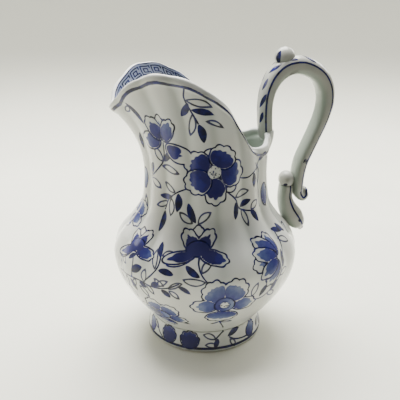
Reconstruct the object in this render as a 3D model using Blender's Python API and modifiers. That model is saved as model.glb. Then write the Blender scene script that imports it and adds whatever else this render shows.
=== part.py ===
"""A porcelain cream jug: a softly lobed pot with a drawn-out lip, a foot ring and a high looped handle.

The jug stands on z = 0 with its lip towards -X and its handle towards +X. Everything is placed about the
pot's own upright axis, which an empty carries, so that the whole jug is centred on the world's origin.
"""

import math

import bmesh
import bpy
import numpy as np

MM = 0.001

# Driving dimensions, in millimetres, measured from the pot's axis and from the surface it stands on.
BELLY_RADIUS = 46.1
HANDLE_REACH = 63.7
JOINT_GAP = 0.3
WALL = 2.8
FLOOR_TOP = 14.6
FLOOR_HOLLOW = 1.5

# The pot below its neck, as (height, radius) from the foot joint up to the neck.
POT_PROFILE = [
    (10.8, 27.9),
    (14.0, 30.3),
    (20.0, 35.2),
    (27.0, 40.2),
    (34.0, 43.8),
    (41.0, 45.8),
    (48.0, 46.0),
    (55.0, 43.0),
    (62.0, 36.9),
    (69.0, 32.4),
    (76.0, 31.0),
    (84.0, 30.3),
]
POT_BASE, NECK = POT_PROFILE[0], POT_PROFILE[-1]

# The lobes: where the first groove between them stands, in degrees round from the tip of the lip, and how
# deep the grooves are at each height, up to the neck, and at the rim.
LOBES = 15
FIRST_GROOVE = -16.0
LOBE_DEPTH = [(10.8, 0.0), (27.0, 0.1), (40.0, 0.35), (50.0, 0.8), (60.0, 1.1), (72.0, 0.9), (84.0, 0.7)]
RIM_LOBE_DEPTH = 0.3

# The middle of the rim's crest, as (bearing in degrees from the tip of the lip, radius, height). It rises
# from the tip to a crest on each side, drops steeply, dips into a scoop and meets the handle at the back.
RIM = [
    (0.0, 44.1, 118.6),
    (12.0, 43.3, 123.4),
    (26.0, 40.6, 130.6),
    (40.0, 38.1, 134.3),
    (54.0, 36.1, 134.3),
    (70.0, 34.1, 131.2),
    (85.0, 32.2, 125.6),
    (98.0, 30.4, 118.8),
    (108.0, 29.2, 110.6),
    (118.0, 28.9, 103.2),
    (130.0, 29.0, 100.9),
    (146.0, 29.4, 100.6),
    (158.0, 29.6, 102.6),
    (170.0, 29.6, 103.8),
    (180.0, 29.6, 104.0),
]
LIP_FLARE = 2.45
RIM_BEAD_HEIGHT = 3.6
RIM_BEAD_SWELL = 0.7

# The foot ring's profile, as (radius, height), down its outer side and up its inner side.
FOOT_PROFILE = [
    (28.2, 10.5),
    (28.6, 8.6),
    (28.8, 6.0),
    (29.3, 3.6),
    (29.7, 2.0),
    (29.7, 1.0),
    (29.4, 0.3),
    (29.0, 0.0),
    (25.8, 0.0),
    (25.2, 0.6),
    (23.6, 4.0),
    (21.6, 10.5),
]

# The handle's members, each as stations (x, z, width, thickness) along its middle line.
STRAP = [
    (29.5, 104.3, 12.2, 6.2),
    (29.0, 111.0, 12.5, 6.3),
    (29.1, 117.6, 12.6, 6.4),
    (30.5, 124.0, 12.6, 7.0),
    (33.6, 129.6, 12.6, 8.2),
    (38.4, 133.4, 12.6, 9.0),
    (44.4, 134.5, 12.6, 9.1),
    (50.6, 132.8, 12.6, 8.9),
    (56.0, 129.0, 12.6, 8.6),
    (59.2, 123.2, 12.5, 8.0),
    (59.9, 116.8, 12.4, 7.4),
    (58.5, 109.4, 12.2, 6.6),
    (55.6, 101.8, 12.0, 6.1),
    (52.2, 94.0, 11.8, 6.0),
    (49.3, 86.8, 11.6, 6.0),
    (48.0, 79.6, 11.4, 5.8),
    (47.9, 72.6, 11.0, 5.2),
]
UPPER_ROOT = [
    (30.6, 104.0, 12.0, 6.0),
    (30.6, 100.5, 11.6, 5.6),
    (30.2, 96.5, 10.2, 4.4),
    (29.6, 92.4, 7.0, 2.6),
]
SCROLL_TAIL = [
    (48.0, 72.3, 10.8, 5.0),
    (48.6, 68.4, 10.4, 4.8),
    (50.8, 65.9, 9.6, 3.4),
    (53.1, 66.6, 8.6, 2.4),
    (53.9, 69.0, 7.0, 1.9),
    (53.3, 71.8, 4.4, 1.2),
]
LOWER_STEM = [
    (42.3, 73.4, 9.6, 6.6),
    (42.0, 68.0, 10.2, 7.0),
    (43.8, 62.2, 11.4, 9.4),
    (47.0, 57.0, 12.0, 11.0),
    (49.6, 53.4, 10.4, 7.6),
    (51.2, 51.2, 5.0, 3.0),
]
KNOB_CENTRE, KNOB_RADIUS = (38.0, 138.0), 5.0
BEAD_CENTRE, BEAD_RADII = (42.1, 77.6), (3.9, 5.0, 4.4)

# How finely the surfaces are divided.
AROUND = 4 * LOBES
POT_ROWS, LIP_ROWS = 17, 10
LIP_ROW_CROWDING = 1.4
INNER_POT_ROWS, INNER_LIP_ROWS = 9, 6
CREST_ROWS = 2
FLOOR_SHARES = (0.9, 0.6, 0.3)
STRAP_STEPS, MEMBER_STEPS, SECTION_POINTS = 42, 12, 16
FOOT_STEPS = 48
BALL_SEGMENTS, BALL_RINGS = 24, 14
SHARP_ANGLE = 50

# Finishes: base colour, roughness.
GLAZED = ((0.62, 0.65, 0.60), 0.16)
GLAZED_WARM = ((0.55, 0.56, 0.50), 0.18)
PAINTED = ((0.30, 0.33, 0.45), 0.18)
UNGLAZED = ((0.60, 0.56, 0.47), 0.45)


def smooth_through(knots, at):
    """A cubic curve through (position, value) knots, whose slopes come from each knot's neighbours."""
    x, y = np.array(knots, float).T
    slope = np.gradient(y, x)
    i = np.clip(np.searchsorted(x, at) - 1, 0, len(x) - 2)
    span = x[i + 1] - x[i]
    t = (at - x[i]) / span
    start = (1 + 2 * t) * (1 - t) ** 2 * y[i] + t * (1 - t) ** 2 * span * slope[i]
    end = t**2 * (3 - 2 * t) * y[i + 1] + t**2 * (t - 1) * span * slope[i + 1]
    return start + end


def rim_at(bearing):
    """The rim's radius and height at bearings in degrees from the tip of the lip, to either side alike."""
    mirrored = [(-RIM[1][0], *RIM[1][1:]), *RIM, (360 - RIM[-2][0], *RIM[-2][1:])]
    radius = smooth_through([knot[:2] for knot in mirrored], bearing)
    height = smooth_through([knot[::2] for knot in mirrored], bearing)
    return radius, height


def rim_bearing(turn):
    """The bearing in degrees that a fraction of a half turn round the pot reaches on the rim.

    Equal steps round the neck become equal lengths of rim, so the lobes lean towards the lip.
    """
    bearing = np.linspace(0.0, 180.0, 721)
    radius, _ = rim_at(bearing)
    x = -radius * np.cos(np.radians(bearing))
    y = radius * np.sin(np.radians(bearing))
    length = np.concatenate([[0.0], np.cumsum(np.hypot(np.diff(x), np.diff(y)))])
    return np.interp(turn * length[-1], length, bearing)


def groove(turn_angle):
    """1 along the groove between two lobes, 0 along the crown of a lobe."""
    return 1 - np.abs(np.sin(LOBES / 2 * (turn_angle - math.radians(FIRST_GROOVE))))


class Vessel:
    """The pot's outer surface, as rings of points at equal turns about its axis."""

    def __init__(self, grow=0.0, lobed=True):
        self.grow = grow
        start = math.radians(FIRST_GROOVE)
        full = np.linspace(start, start + 2 * math.pi, AROUND, endpoint=False)
        self.turn = np.arctan2(np.sin(full), np.cos(full))
        self.groove = groove(self.turn) if lobed else np.zeros(AROUND)
        fraction = np.abs(self.turn) / math.pi
        self.side = np.sign(self.turn)
        bearing = rim_bearing(fraction)
        radius, crest = rim_at(bearing)
        self.rim_height = crest - WALL / 2
        self.rim_x = -radius * np.cos(np.radians(bearing))
        self.rim_y = self.side * radius * np.sin(np.radians(bearing))

    def pot_ring(self, height, inset=0.0):
        """A ring of the pot below the neck."""
        depth = smooth_through(LOBE_DEPTH, height)
        radius = smooth_through(POT_PROFILE, height) + self.grow - inset - depth * self.groove
        return self.turned(radius, np.full(AROUND, height))

    def turned(self, radius, height):
        return np.stack([-radius * np.cos(self.turn), radius * np.sin(self.turn), height], axis=1)

    def lip_ring(self, rise, inset=0.0):
        """A ring between the neck, where rise is 0, and the rim, where it is 1."""
        blend = rise**LIP_FLARE
        x = (1 - blend) * -NECK[1] * np.cos(self.turn) + blend * self.rim_x
        y = (1 - blend) * NECK[1] * np.sin(self.turn) + blend * self.rim_y
        height = NECK[0] + (self.rim_height - NECK[0]) * rise
        below_rim = self.rim_height - height
        bead = RIM_BEAD_SWELL * np.sin(math.pi * np.clip(below_rim / RIM_BEAD_HEIGHT, 0, 1))
        depth = LOBE_DEPTH[-1][1] * (1 - rise) + RIM_LOBE_DEPTH * rise
        out = self.outward(x, y)
        half_wall = WALL / 2 * blend
        move = self.grow + half_wall + bead - depth * self.groove - inset * self.slant(x, y, out)
        return np.stack([x + out[:, 0] * move, y + out[:, 1] * move, height], axis=1)

    def outward(self, x, y):
        """Unit directions out of a ring, level and square to it."""
        along_x = np.roll(x, -1) - np.roll(x, 1)
        along_y = np.roll(y, -1) - np.roll(y, 1)
        length = np.hypot(along_x, along_y)
        return np.stack([along_y / length, -along_x / length], axis=1) * -1

    def slant(self, x, y, out):
        """How much further in a wall's inner face lies where the lip is pointed, evened out round the ring."""
        across = np.clip((x * out[:, 0] + y * out[:, 1]) / np.hypot(x, y), 0.7, 1.0)
        factor = 1 / across
        return (np.roll(factor, 1) + 2 * factor + np.roll(factor, -1)) / 4


def mesh_object(name, points, faces, finish, collection):
    """A mesh object from points in millimetres and faces, shaded smooth."""
    mesh = bpy.data.meshes.new(name)
    mesh.from_pydata((np.asarray(points) * MM).tolist(), [], faces)
    shell = bmesh.new()
    shell.from_mesh(mesh)
    bmesh.ops.recalc_face_normals(shell, faces=shell.faces)
    shell.to_mesh(mesh)
    shell.free()
    return add_object(name, mesh, finish, collection)


def add_object(name, mesh, finish, collection):
    mesh.shade_smooth()
    mesh.set_sharp_from_angle(angle=math.radians(SHARP_ANGLE))
    mesh.materials.clear()
    mesh.materials.append(finish)
    made = bpy.data.objects.new(name, mesh)
    collection.objects.link(made)
    return made


def ring_faces(rings, count):
    """Quads between successive rings of count points each."""
    faces = []
    for row in range(rings - 1):
        for i in range(count):
            j = (i + 1) % count
            faces.append((row * count + i, row * count + j, (row + 1) * count + j, (row + 1) * count + i))
    return faces


def closed_loft(rings):
    """Points and faces of rings joined in order, with a fan to a middle point at each end."""
    count = len(rings[0])
    points = np.concatenate([*rings, [rings[0].mean(axis=0)], [rings[-1].mean(axis=0)]])
    faces = ring_faces(len(rings), count)
    first_middle, last_middle = len(points) - 2, len(points) - 1
    last = (len(rings) - 1) * count
    for i in range(count):
        j = (i + 1) % count
        faces.append((i, j, first_middle))
        faces.append((last + j, last + i, last_middle))
    return points, faces


def crest_rings(outer, inner):
    """Rings over the rim's rounded crest, a half circle from the outer edge to the inner one."""
    middle = (outer + inner) / 2
    half = (outer - inner) / 2
    thickness = np.linalg.norm(half, axis=1, keepdims=True)
    up = np.array([0.0, 0.0, 1.0])
    rings = []
    for step in range(1, CREST_ROWS + 1):
        angle = math.pi * step / (CREST_ROWS + 1)
        rings.append(middle + half * math.cos(angle) + up * thickness * math.sin(angle))
    return rings


def outside_rings(vessel):
    """The pot's outer rings from the foot joint to the rim, closest together just under the rim."""
    rings = [vessel.pot_ring(height) for height in np.linspace(POT_BASE[0], NECK[0], POT_ROWS, endpoint=False)]
    rings.extend(vessel.lip_ring(rise) for rise in 1 - np.linspace(1, 0, LIP_ROWS) ** LIP_ROW_CROWDING)
    return rings


def body_rings():
    """All the pot's rings: up the outside, over the rim and down the inside to the floor."""
    inside = Vessel(lobed=False)
    rings = outside_rings(Vessel())
    inner_rim = inside.lip_ring(1.0, WALL)
    rings.extend(crest_rings(rings[-1], inner_rim))
    rings.append(inner_rim)
    for rise in np.linspace(1, 0, INNER_LIP_ROWS, endpoint=False)[1:]:
        rings.append(inside.lip_ring(rise, WALL))
    for height in np.linspace(NECK[0], FLOOR_TOP + FLOOR_HOLLOW, INNER_POT_ROWS):
        steep = np.gradient(smooth_through(POT_PROFILE, height + np.array([-0.5, 0.0, 0.5])), 0.5)[1]
        rings.append(inside.pot_ring(height, WALL * math.hypot(1, steep)))
    edge = np.hypot(rings[-1][:, 0], rings[-1][:, 1]).mean()
    for share in FLOOR_SHARES:
        rings.append(inside.turned(np.full(AROUND, edge * share), np.full(AROUND, FLOOR_TOP)))
    return rings


def clearance_rings():
    """The pot as a plain solid a joint gap larger all round, for cutting the members that meet it."""
    rings = outside_rings(Vessel(grow=JOINT_GAP, lobed=False))
    rings.append(rings[-1] + [0.0, 0.0, WALL / 2 + JOINT_GAP])
    return rings


def member_rings(stations, steps, grow=0.0):
    """Oval sections square to a middle line that runs smoothly through the stations."""
    stations = np.array(stations)
    legs = np.hypot(*np.diff(stations[:, :2], axis=0).T)
    travel = np.concatenate([[0.0], np.cumsum(legs)])
    at = np.linspace(0, travel[-1], steps)
    x, z, width, thickness = (smooth_through(list(zip(travel, column)), at) for column in stations.T)
    along = np.stack([np.gradient(x, at), np.gradient(z, at)], axis=1)
    along /= np.linalg.norm(along, axis=1, keepdims=True)
    angle = np.linspace(0, 2 * math.pi, SECTION_POINTS, endpoint=False)
    rings = []
    for i in range(steps):
        across = (width[i] / 2 + grow) * np.cos(angle)
        outward = (thickness[i] / 2 + grow) * np.sin(angle)
        rings.append(
            np.stack([x[i] - outward * along[i, 1], across, z[i] + outward * along[i, 0]], axis=1)
        )
    return rings


def turned_object(name, profile, finish, collection):
    """A turned piece: its (radius, height) outline carried round the axis."""
    outline = bmesh.new()
    corners = [outline.verts.new((radius * MM, 0, height * MM)) for radius, height in profile]
    for start, end in zip(corners, corners[1:] + corners[:1]):
        outline.edges.new((start, end))
    mesh = bpy.data.meshes.new(name)
    outline.to_mesh(mesh)
    outline.free()
    made = add_object(name, mesh, finish, collection)
    turn = made.modifiers.new("turn", "SCREW")
    turn.steps = turn.render_steps = FOOT_STEPS
    turn.use_merge_vertices = True
    turn.merge_threshold = 0.00001
    turn.use_smooth_shade = True
    return made


def ball(name, centre, radii, finish, collection):
    """An egg-shaped ball centred at (x, z) on the handle's plane."""
    shape = bmesh.new()
    bmesh.ops.create_uvsphere(shape, u_segments=BALL_SEGMENTS, v_segments=BALL_RINGS, radius=1.0)
    bmesh.ops.scale(shape, vec=[radius * MM for radius in radii], verts=shape.verts)
    mesh = bpy.data.meshes.new(name)
    shape.to_mesh(mesh)
    shape.free()
    made = add_object(name, mesh, finish, collection)
    made.location = (centre[0] * MM, 0, centre[1] * MM)
    return made


def cut(piece, cutter):
    """Takes the cutter's shape out of the piece."""
    joint = piece.modifiers.new(f"clear_{cutter.name}", "BOOLEAN")
    joint.operation = "DIFFERENCE"
    joint.solver = "EXACT"
    joint.object = cutter


def make_cutter(name, rings, collection):
    """A hidden solid that only cuts."""
    finish = bpy.data.materials.get("cutter") or bpy.data.materials.new("cutter")
    cutter = mesh_object(name, *closed_loft(rings), finish, collection)
    cutter.hide_render = True
    cutter.display_type = "WIRE"
    return cutter


def make_finish(name, colour, roughness):
    finish = bpy.data.materials.new(name)
    finish.use_nodes = True
    shader = finish.node_tree.nodes["Principled BSDF"]
    shader.inputs["Base Color"].default_value = (*colour, 1.0)
    shader.inputs["Roughness"].default_value = roughness
    shader.inputs["Metallic"].default_value = 0.0
    return finish


def clear_scene():
    for old in list(bpy.data.objects):
        bpy.data.objects.remove(old)


def main():
    clear_scene()
    jug = bpy.data.collections.new("cream_jug")
    cutters = bpy.data.collections.new("cutters")
    for collection in (jug, cutters):
        bpy.context.scene.collection.children.link(collection)

    axis = bpy.data.objects.new("pot_axis", None)
    axis.location.x = (BELLY_RADIUS - HANDLE_REACH) / 2 * MM
    jug.objects.link(axis)

    glaze = {
        name: make_finish(name, *finish)
        for name, finish in {
            "body_glaze": GLAZED,
            "foot_glaze": UNGLAZED,
            "strap_glaze": GLAZED_WARM,
            "root_glaze": GLAZED_WARM,
            "knob_glaze": GLAZED,
            "bead_glaze": GLAZED_WARM,
            "scroll_glaze": PAINTED,
            "stem_glaze": GLAZED_WARM,
        }.items()
    }

    body = mesh_object("body", *closed_loft(body_rings()), glaze["body_glaze"], jug)
    foot = turned_object("foot_ring", FOOT_PROFILE, glaze["foot_glaze"], jug)

    def member(name, stations, steps, finish):
        return mesh_object(name, *closed_loft(member_rings(stations, steps)), glaze[finish], jug)

    strap = member("handle_strap", STRAP, STRAP_STEPS, "strap_glaze")
    root = member("handle_root", UPPER_ROOT, MEMBER_STEPS, "root_glaze")
    scroll = member("scroll_tail", SCROLL_TAIL, 2 * MEMBER_STEPS, "scroll_glaze")
    stem = member("lower_stem", LOWER_STEM, MEMBER_STEPS, "stem_glaze")
    knob = ball("thumb_knob", KNOB_CENTRE, [KNOB_RADIUS] * 3, glaze["knob_glaze"], jug)
    bead = ball("inner_bead", BEAD_CENTRE, BEAD_RADII, glaze["bead_glaze"], jug)

    pot_clearance = make_cutter("pot_clearance", clearance_rings(), cutters)
    strap_clearance = make_cutter("strap_clearance", member_rings(STRAP, STRAP_STEPS, JOINT_GAP), cutters)
    tail_clearance = make_cutter(
        "tail_clearance", member_rings(SCROLL_TAIL, 2 * MEMBER_STEPS, JOINT_GAP), cutters
    )
    stem_clearance = make_cutter(
        "stem_clearance", member_rings(LOWER_STEM, MEMBER_STEPS, JOINT_GAP), cutters
    )
    for piece in (root, stem):
        cut(piece, pot_clearance)
    for piece in (knob, bead, stem):
        cut(piece, strap_clearance)
    cut(stem, tail_clearance)
    cut(bead, stem_clearance)

    for piece in (body, foot, strap, root, scroll, stem, knob, bead):
        piece.parent = axis
    for cutter in (pot_clearance, strap_clearance, tail_clearance, stem_clearance):
        cutter.parent = axis


main()
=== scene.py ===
"""The looks of a small blue-and-white porcelain cream jug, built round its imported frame.

Shapes are worked out in millimetres about the pot's own upright axis, with the lip towards -X and the
handle towards +X, and are moved onto the frame when their mesh is made. The painting is a set of signed
distances, stored at every point of a surface: below 0 inside a petal or leaf, 0 on its outline. The glaze
reads them and lays cobalt wash inside and ink along the outline.
"""

import enum
import logging
import math
from collections.abc import Callable, Sequence
from dataclasses import dataclass, field
from typing import Any, ClassVar

import bpy
import numpy as np
import numpy.typing as npt
from mathutils import Matrix, Vector


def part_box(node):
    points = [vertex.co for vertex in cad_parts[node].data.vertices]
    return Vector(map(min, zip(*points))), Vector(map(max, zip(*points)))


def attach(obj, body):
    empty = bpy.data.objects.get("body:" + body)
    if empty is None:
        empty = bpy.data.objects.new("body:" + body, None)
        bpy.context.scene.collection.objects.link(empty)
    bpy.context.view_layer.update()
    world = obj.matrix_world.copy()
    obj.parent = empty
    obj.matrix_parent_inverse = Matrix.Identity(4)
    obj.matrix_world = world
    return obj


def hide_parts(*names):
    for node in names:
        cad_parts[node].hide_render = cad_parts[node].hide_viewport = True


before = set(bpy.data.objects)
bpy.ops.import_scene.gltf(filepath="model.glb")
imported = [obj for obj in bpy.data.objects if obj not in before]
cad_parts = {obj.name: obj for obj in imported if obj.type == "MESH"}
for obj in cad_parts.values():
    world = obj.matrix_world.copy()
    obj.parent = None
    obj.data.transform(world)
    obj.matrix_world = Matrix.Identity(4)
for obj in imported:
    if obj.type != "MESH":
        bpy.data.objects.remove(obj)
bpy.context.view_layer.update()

MM = 0.001
# Painted distances are kept up to this far, in millimetres.
FAR = 6.0
UP = np.array([0.0, 0.0, 1.0])
AWAY = np.array([0.0, 1.0, 0.0])

Array = npt.NDArray[np.float64]
Pair = tuple[float, float]
Triple = tuple[float, float, float]
# Where something sets in and is full, and then where it has ended and was still full.
Band = tuple[Pair, Pair]
log = logging.getLogger("jug")


# ---------------------------------------------------------------- curves and frames


def smooth_through(knots: Sequence[Sequence[float]], at: Array | float) -> Array:
    """A cubic curve through (position, value) knots, whose slopes come from each knot's neighbours.

    Args:
        knots: (position, value) pairs in rising order of position.
        at: Positions to read the curve at.

    Returns:
        The curve's value at each position.
    """
    x, y = np.array(knots, float).T
    slope = np.gradient(y, x)
    i = np.clip(np.searchsorted(x, at) - 1, 0, len(x) - 2)
    span = x[i + 1] - x[i]
    t = (at - x[i]) / span
    start = (1 + 2 * t) * (1 - t) ** 2 * y[i] + t * (1 - t) ** 2 * span * slope[i]
    end = t**2 * (3 - 2 * t) * y[i + 1] + t**2 * (t - 1) * span * slope[i + 1]
    return start + end


def soft_step(value: Array, low: float, high: float) -> Array:
    """0 below low, 1 above high, and an even S between them: t * t * (3 - 2 t)."""
    t = np.clip((value - low) / (high - low), 0.0, 1.0)
    return t * t * (3 - 2 * t)


def unit(vectors: Array) -> Array:
    """The vectors, each divided by its own length."""
    return vectors / np.maximum(np.linalg.norm(vectors, axis=-1, keepdims=True), 1e-9)


def travel_along(points: Array, axis: int = 0) -> Array:
    """Length travelled along rows of points, from 0 at the first one.

    Args:
        points: Points, with their coordinates last.
        axis: The axis of the array that the path runs along.

    Returns:
        The length at each point, in the points' unit.
    """
    legs = np.linalg.norm(np.diff(points, axis=axis), axis=-1)
    start = np.zeros_like(np.take(legs, [0], axis=axis))
    return np.concatenate([start, np.cumsum(legs, axis=axis)], axis=axis)


def rounding(width: int) -> Array:
    """Weights that average neighbours: a raised cosine this many values wide, with the sum 1."""
    weights = np.hanning(width)
    return weights / weights.sum()


def circle(columns: int) -> Array:
    """Turns of the columns round a ring, in radians from 0."""
    return 2 * math.pi * np.arange(columns) / columns


def turned(radius: Array, turn: Array, height: Array) -> Array:
    """Points at these radii and heights, turned about the axis from the lip's side towards +Y."""
    places = np.broadcast_arrays(-radius * np.cos(turn), radius * np.sin(turn), height)
    return np.stack(places, axis=-1)


def link(name: str, data: bpy.types.ID) -> bpy.types.Object:
    """Puts a new object into the scene.

    Args:
        name: The object's name.
        data: Its mesh, light or camera.

    Returns:
        The object, at the origin.
    """
    made = bpy.data.objects.new(name, data)
    bpy.context.scene.collection.objects.link(made)
    return made


@dataclass(frozen=True)
class Spot:
    """Where a stencil is held against a surface: a point, and the surface's own directions there."""

    origin: Array
    right: Array
    up: Array
    out: Array

    def flat(self, points: Array) -> tuple[Array, Array, Array]:
        """The points as the stencil sees them: (to the right, upwards, out of the surface)."""
        away = points - self.origin
        return away @ self.right, away @ self.up, away @ self.out


# ---------------------------------------------------------------- meshes


class Grid:
    """A surface on a grid of points, closed round its columns and capped at both ends.

    Rows run along the surface and columns round it. Each end cap is a fan to its ring's own middle. A
    looped grid has no caps, because its last row joins its first one.
    """

    def __init__(self, points: Array, looped: bool = False) -> None:
        """Takes points as an array of rows, columns and coordinates, in millimetres.

        Args:
            points: Rows, columns and coordinates, in millimetres.
            looped: Whether the last row joins the first one.
        """
        self.points = points
        self.looped = looped
        self.rows, self.columns = points.shape[:2]

    def vertices(self) -> Array:
        """Every point of the grid, row by row, and then the middles of the two capped rings.

        Returns:
            The points, in millimetres.
        """
        if self.looped:
            return self.points.reshape(-1, 3)
        middles = self.points[[0, -1]].mean(axis=1)
        return np.concatenate([self.points.reshape(-1, 3), middles])

    def spread(self, values: Array) -> Array:
        """Values on the grid, followed by those of the two cap middles.

        Args:
            values: One number for each row and column.

        Returns:
            One number for each vertex.
        """
        if self.looped:
            return values.reshape(-1)
        return np.concatenate([values.reshape(-1), values[[0, -1]].mean(axis=1)])

    def corners(self) -> tuple[Array, Array]:
        """The vertex numbers of the quads and of the cap triangles.

        Returns:
            The quads' vertices and the triangles' vertices, one face a row.
        """
        row = np.arange(self.rows if self.looped else self.rows - 1)[:, None]
        here, there = np.arange(self.columns), np.roll(np.arange(self.columns), -1)
        low, high = row * self.columns, (row + 1) % self.rows * self.columns
        quads = np.stack([low + here, low + there, high + there, high + here], axis=-1).reshape(-1, 4)
        if self.looped:
            return quads, np.empty((0, 3), int)
        middle, end = self.rows * self.columns, (self.rows - 1) * self.columns
        first, last = np.full(self.columns, middle), np.full(self.columns, middle + 1)
        start_cap = np.stack([there, here, first], axis=1)
        end_cap = np.stack([end + here, end + there, last], axis=1)
        return quads, np.concatenate([start_cap, end_cap])

    def outward_sign(self) -> float:
        """1 where the columns turn so that quads face outwards, -1 where they face inwards.

        Returns:
            The sign of the volume that the faces enclose.
        """
        points = self.vertices()
        quads, caps = self.corners()
        triangles = np.concatenate([quads[:, [0, 1, 2]], quads[:, [0, 2, 3]], caps])
        a, b, c = points[triangles[:, 0]], points[triangles[:, 1]], points[triangles[:, 2]]
        return float(np.sign(np.einsum("ij,ij->", a, np.cross(b, c))))

    def build(self, name: str, shift: Array, fields: dict[str, Array]) -> bpy.types.Object:
        """Makes the mesh object.

        Args:
            name: The object's name.
            shift: Where the grid's origin is on the frame, in millimetres.
            fields: Named numbers for every vertex, kept as attributes for the glaze.

        Returns:
            The new object, in the scene, at the origin and shaded smooth.
        """
        quads, caps = self.corners()
        if self.outward_sign() < 0:
            quads, caps = quads[:, ::-1], caps[:, ::-1]
        mesh = bpy.data.meshes.new(name)
        points = (self.vertices() + shift) * MM
        mesh.vertices.add(len(points))
        mesh.vertices.foreach_set("co", points.ravel())
        corners = np.concatenate([quads.ravel(), caps.ravel()]).astype(np.int32)
        sizes = np.concatenate([np.full(len(quads), 4), np.full(len(caps), 3)])
        mesh.loops.add(len(corners))
        mesh.loops.foreach_set("vertex_index", corners)
        mesh.polygons.add(len(sizes))
        mesh.polygons.foreach_set("loop_start", (np.cumsum(sizes) - sizes).astype(np.int32))
        mesh.update(calc_edges=True)
        mesh.shade_smooth()
        for label, values in fields.items():
            stored = mesh.attributes.new(label, "FLOAT", "POINT")
            stored.data.foreach_set("value", values.astype(np.float32))
        return link(name, mesh)

    def sheet(self, name: str, shift: Array) -> bpy.types.Object:
        """Makes an open surface of the grid, with its first ring filled and its last one left open.

        Args:
            name: The object's name.
            shift: Where the grid's origin is on the frame, in millimetres.

        Returns:
            The object, at the origin and shaded smooth.
        """
        quads, caps = self.corners()
        points = (self.vertices()[:-1] + shift) * MM
        mesh = bpy.data.meshes.new(name)
        mesh.from_pydata(points, [], [*quads.tolist(), *caps[: self.columns].tolist()])
        mesh.shade_smooth()
        return link(name, mesh)


# ---------------------------------------------------------------- painting


class Coat(enum.IntEnum):
    """How far forward a petal lies among its neighbours."""

    def label(self) -> str:
        """The name of the field that holds this coat's distances."""
        return "petal_" + self.name.lower()

    BACK = 0
    MIDDLE = 1
    FRONT = 2


class Fill(enum.Enum):
    """How a leaf is painted."""

    SOLID = "solid"
    OPEN = "open"


@dataclass(frozen=True)
class Petal:
    """One petal about its flower's base: an ellipse with a scalloped end, washed inside a white margin."""

    # Depth of the scallops, the margin at the base, and the fall in tone from middle to tip, as shares.
    RIPPLE: ClassVar[float] = 0.15
    BASE_MARGIN: ClassVar[float] = 0.18
    FADE: ClassVar[float] = 0.32

    angle: float
    reach: float
    length: float
    width: float
    tone: float
    coat: Coat
    margin: float = 1.3
    scallops: int = 0

    def drawn(self, u: Array, v: Array, turn: float, scale: float) -> tuple[Array, Array, Array]:
        """Signed distances to the petal's outline and into its wash, and how deep the wash is.

        With q the radius on the petal's own ellipse and R = 1 + the scallops' ripple on its outer end,
        the distance is (q - R) over the steepness of q. The wash starts a margin inside the outline,
        the margin is widest at the tip, and the tone falls from the base to the tip.

        Args:
            u: Places to the right of the flower's base, in millimetres.
            v: Places above it.
            turn: How far the flower leans, in degrees anticlockwise.
            scale: How large the flower is against its pattern.

        Returns:
            The distance to the outline, below 0 inside; the depth into the wash, above 0 inside; and
            the tone.
        """
        angle = math.radians(self.angle + turn)
        along = (u * math.cos(angle) + v * math.sin(angle)) / scale - self.reach
        across = (v * math.cos(angle) - u * math.sin(angle)) / scale
        a, b = self.length / 2, self.width / 2
        q = np.hypot(along / a, across / b)
        steep = np.hypot(along / a**2, across / b**2) / np.maximum(q, 1e-6)
        heading = np.arctan2(across / b, along / a)
        outer_end = np.clip(np.cos(heading) + 0.35, 0, 1)
        ripple = self.RIPPLE * (np.abs(np.cos(heading * self.scallops / 2)) - 0.6) * outer_end
        edge = 1 + (ripple if self.scallops else 0.0)
        distance = (q - edge) / np.maximum(steep, 0.5 / max(a, b))
        margin = self.margin * (self.BASE_MARGIN + np.clip(np.cos(heading) + 0.2, 0, 1) ** 1.5)
        tone = self.tone - self.FADE * np.clip(along / a, -1.2, 1.2)
        return distance * scale, (-distance - margin) * scale, tone


PEONY = (
    Petal(104, 8.8, 7.0, 7.0, 0.0, Coat.BACK),
    Petal(-42, 9.2, 9.5, 7.0, 0.0, Coat.BACK),
    Petal(152, 8.8, 12.4, 13.0, 0.92, Coat.MIDDLE, 2.4, 9),
    Petal(-86, 9.6, 14.0, 11.0, 1.30, Coat.MIDDLE, 2.4, 7),
    Petal(-3, 8.6, 11.4, 14.0, 0.82, Coat.MIDDLE, 1.8, 7),
    Petal(63, 8.4, 11.8, 13.4, 0.90, Coat.FRONT, 2.4, 9),
    Petal(212, 9.0, 13.2, 12.8, 0.88, Coat.FRONT, 2.4, 9),
)
OPEN_PEONY = (
    Petal(-92, 9.6, 10.0, 16.0, 0.52, Coat.BACK, 2.2, 9),
    Petal(124, 9.2, 12.5, 12.6, 0.50, Coat.MIDDLE, 2.8, 9),
    Petal(-6, 9.6, 12.0, 9.0, 0.50, Coat.MIDDLE, 1.6, 7),
    Petal(58, 9.4, 12.5, 12.2, 0.50, Coat.MIDDLE, 2.8, 9),
    Petal(186, 9.6, 12.6, 9.2, 0.48, Coat.MIDDLE, 2.2, 7),
    Petal(0, 0.0, 9.8, 9.8, 0.56, Coat.FRONT, 0.3),
)
IRIS = (
    Petal(92, 10.0, 7.5, 5.8, 0.0, Coat.BACK, scallops=5),
    Petal(197, 8.8, 13.0, 5.6, 0.0, Coat.BACK),
    Petal(-12, 7.6, 10.0, 5.4, 0.0, Coat.BACK),
    Petal(62, 7.4, 13.4, 7.0, 1.20, Coat.MIDDLE, 2.6, 7),
    Petal(119, 7.4, 13.4, 7.4, 1.20, Coat.MIDDLE, 2.6, 7),
    Petal(190, 8.9, 16.0, 6.0, 1.0, Coat.FRONT, 1.8),
    Petal(-8, 7.8, 13.4, 7.6, 1.0, Coat.FRONT, 1.3, 7),
    Petal(90, 2.6, 8.0, 11.6, 1.25, Coat.FRONT, 0.15),
)
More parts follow.
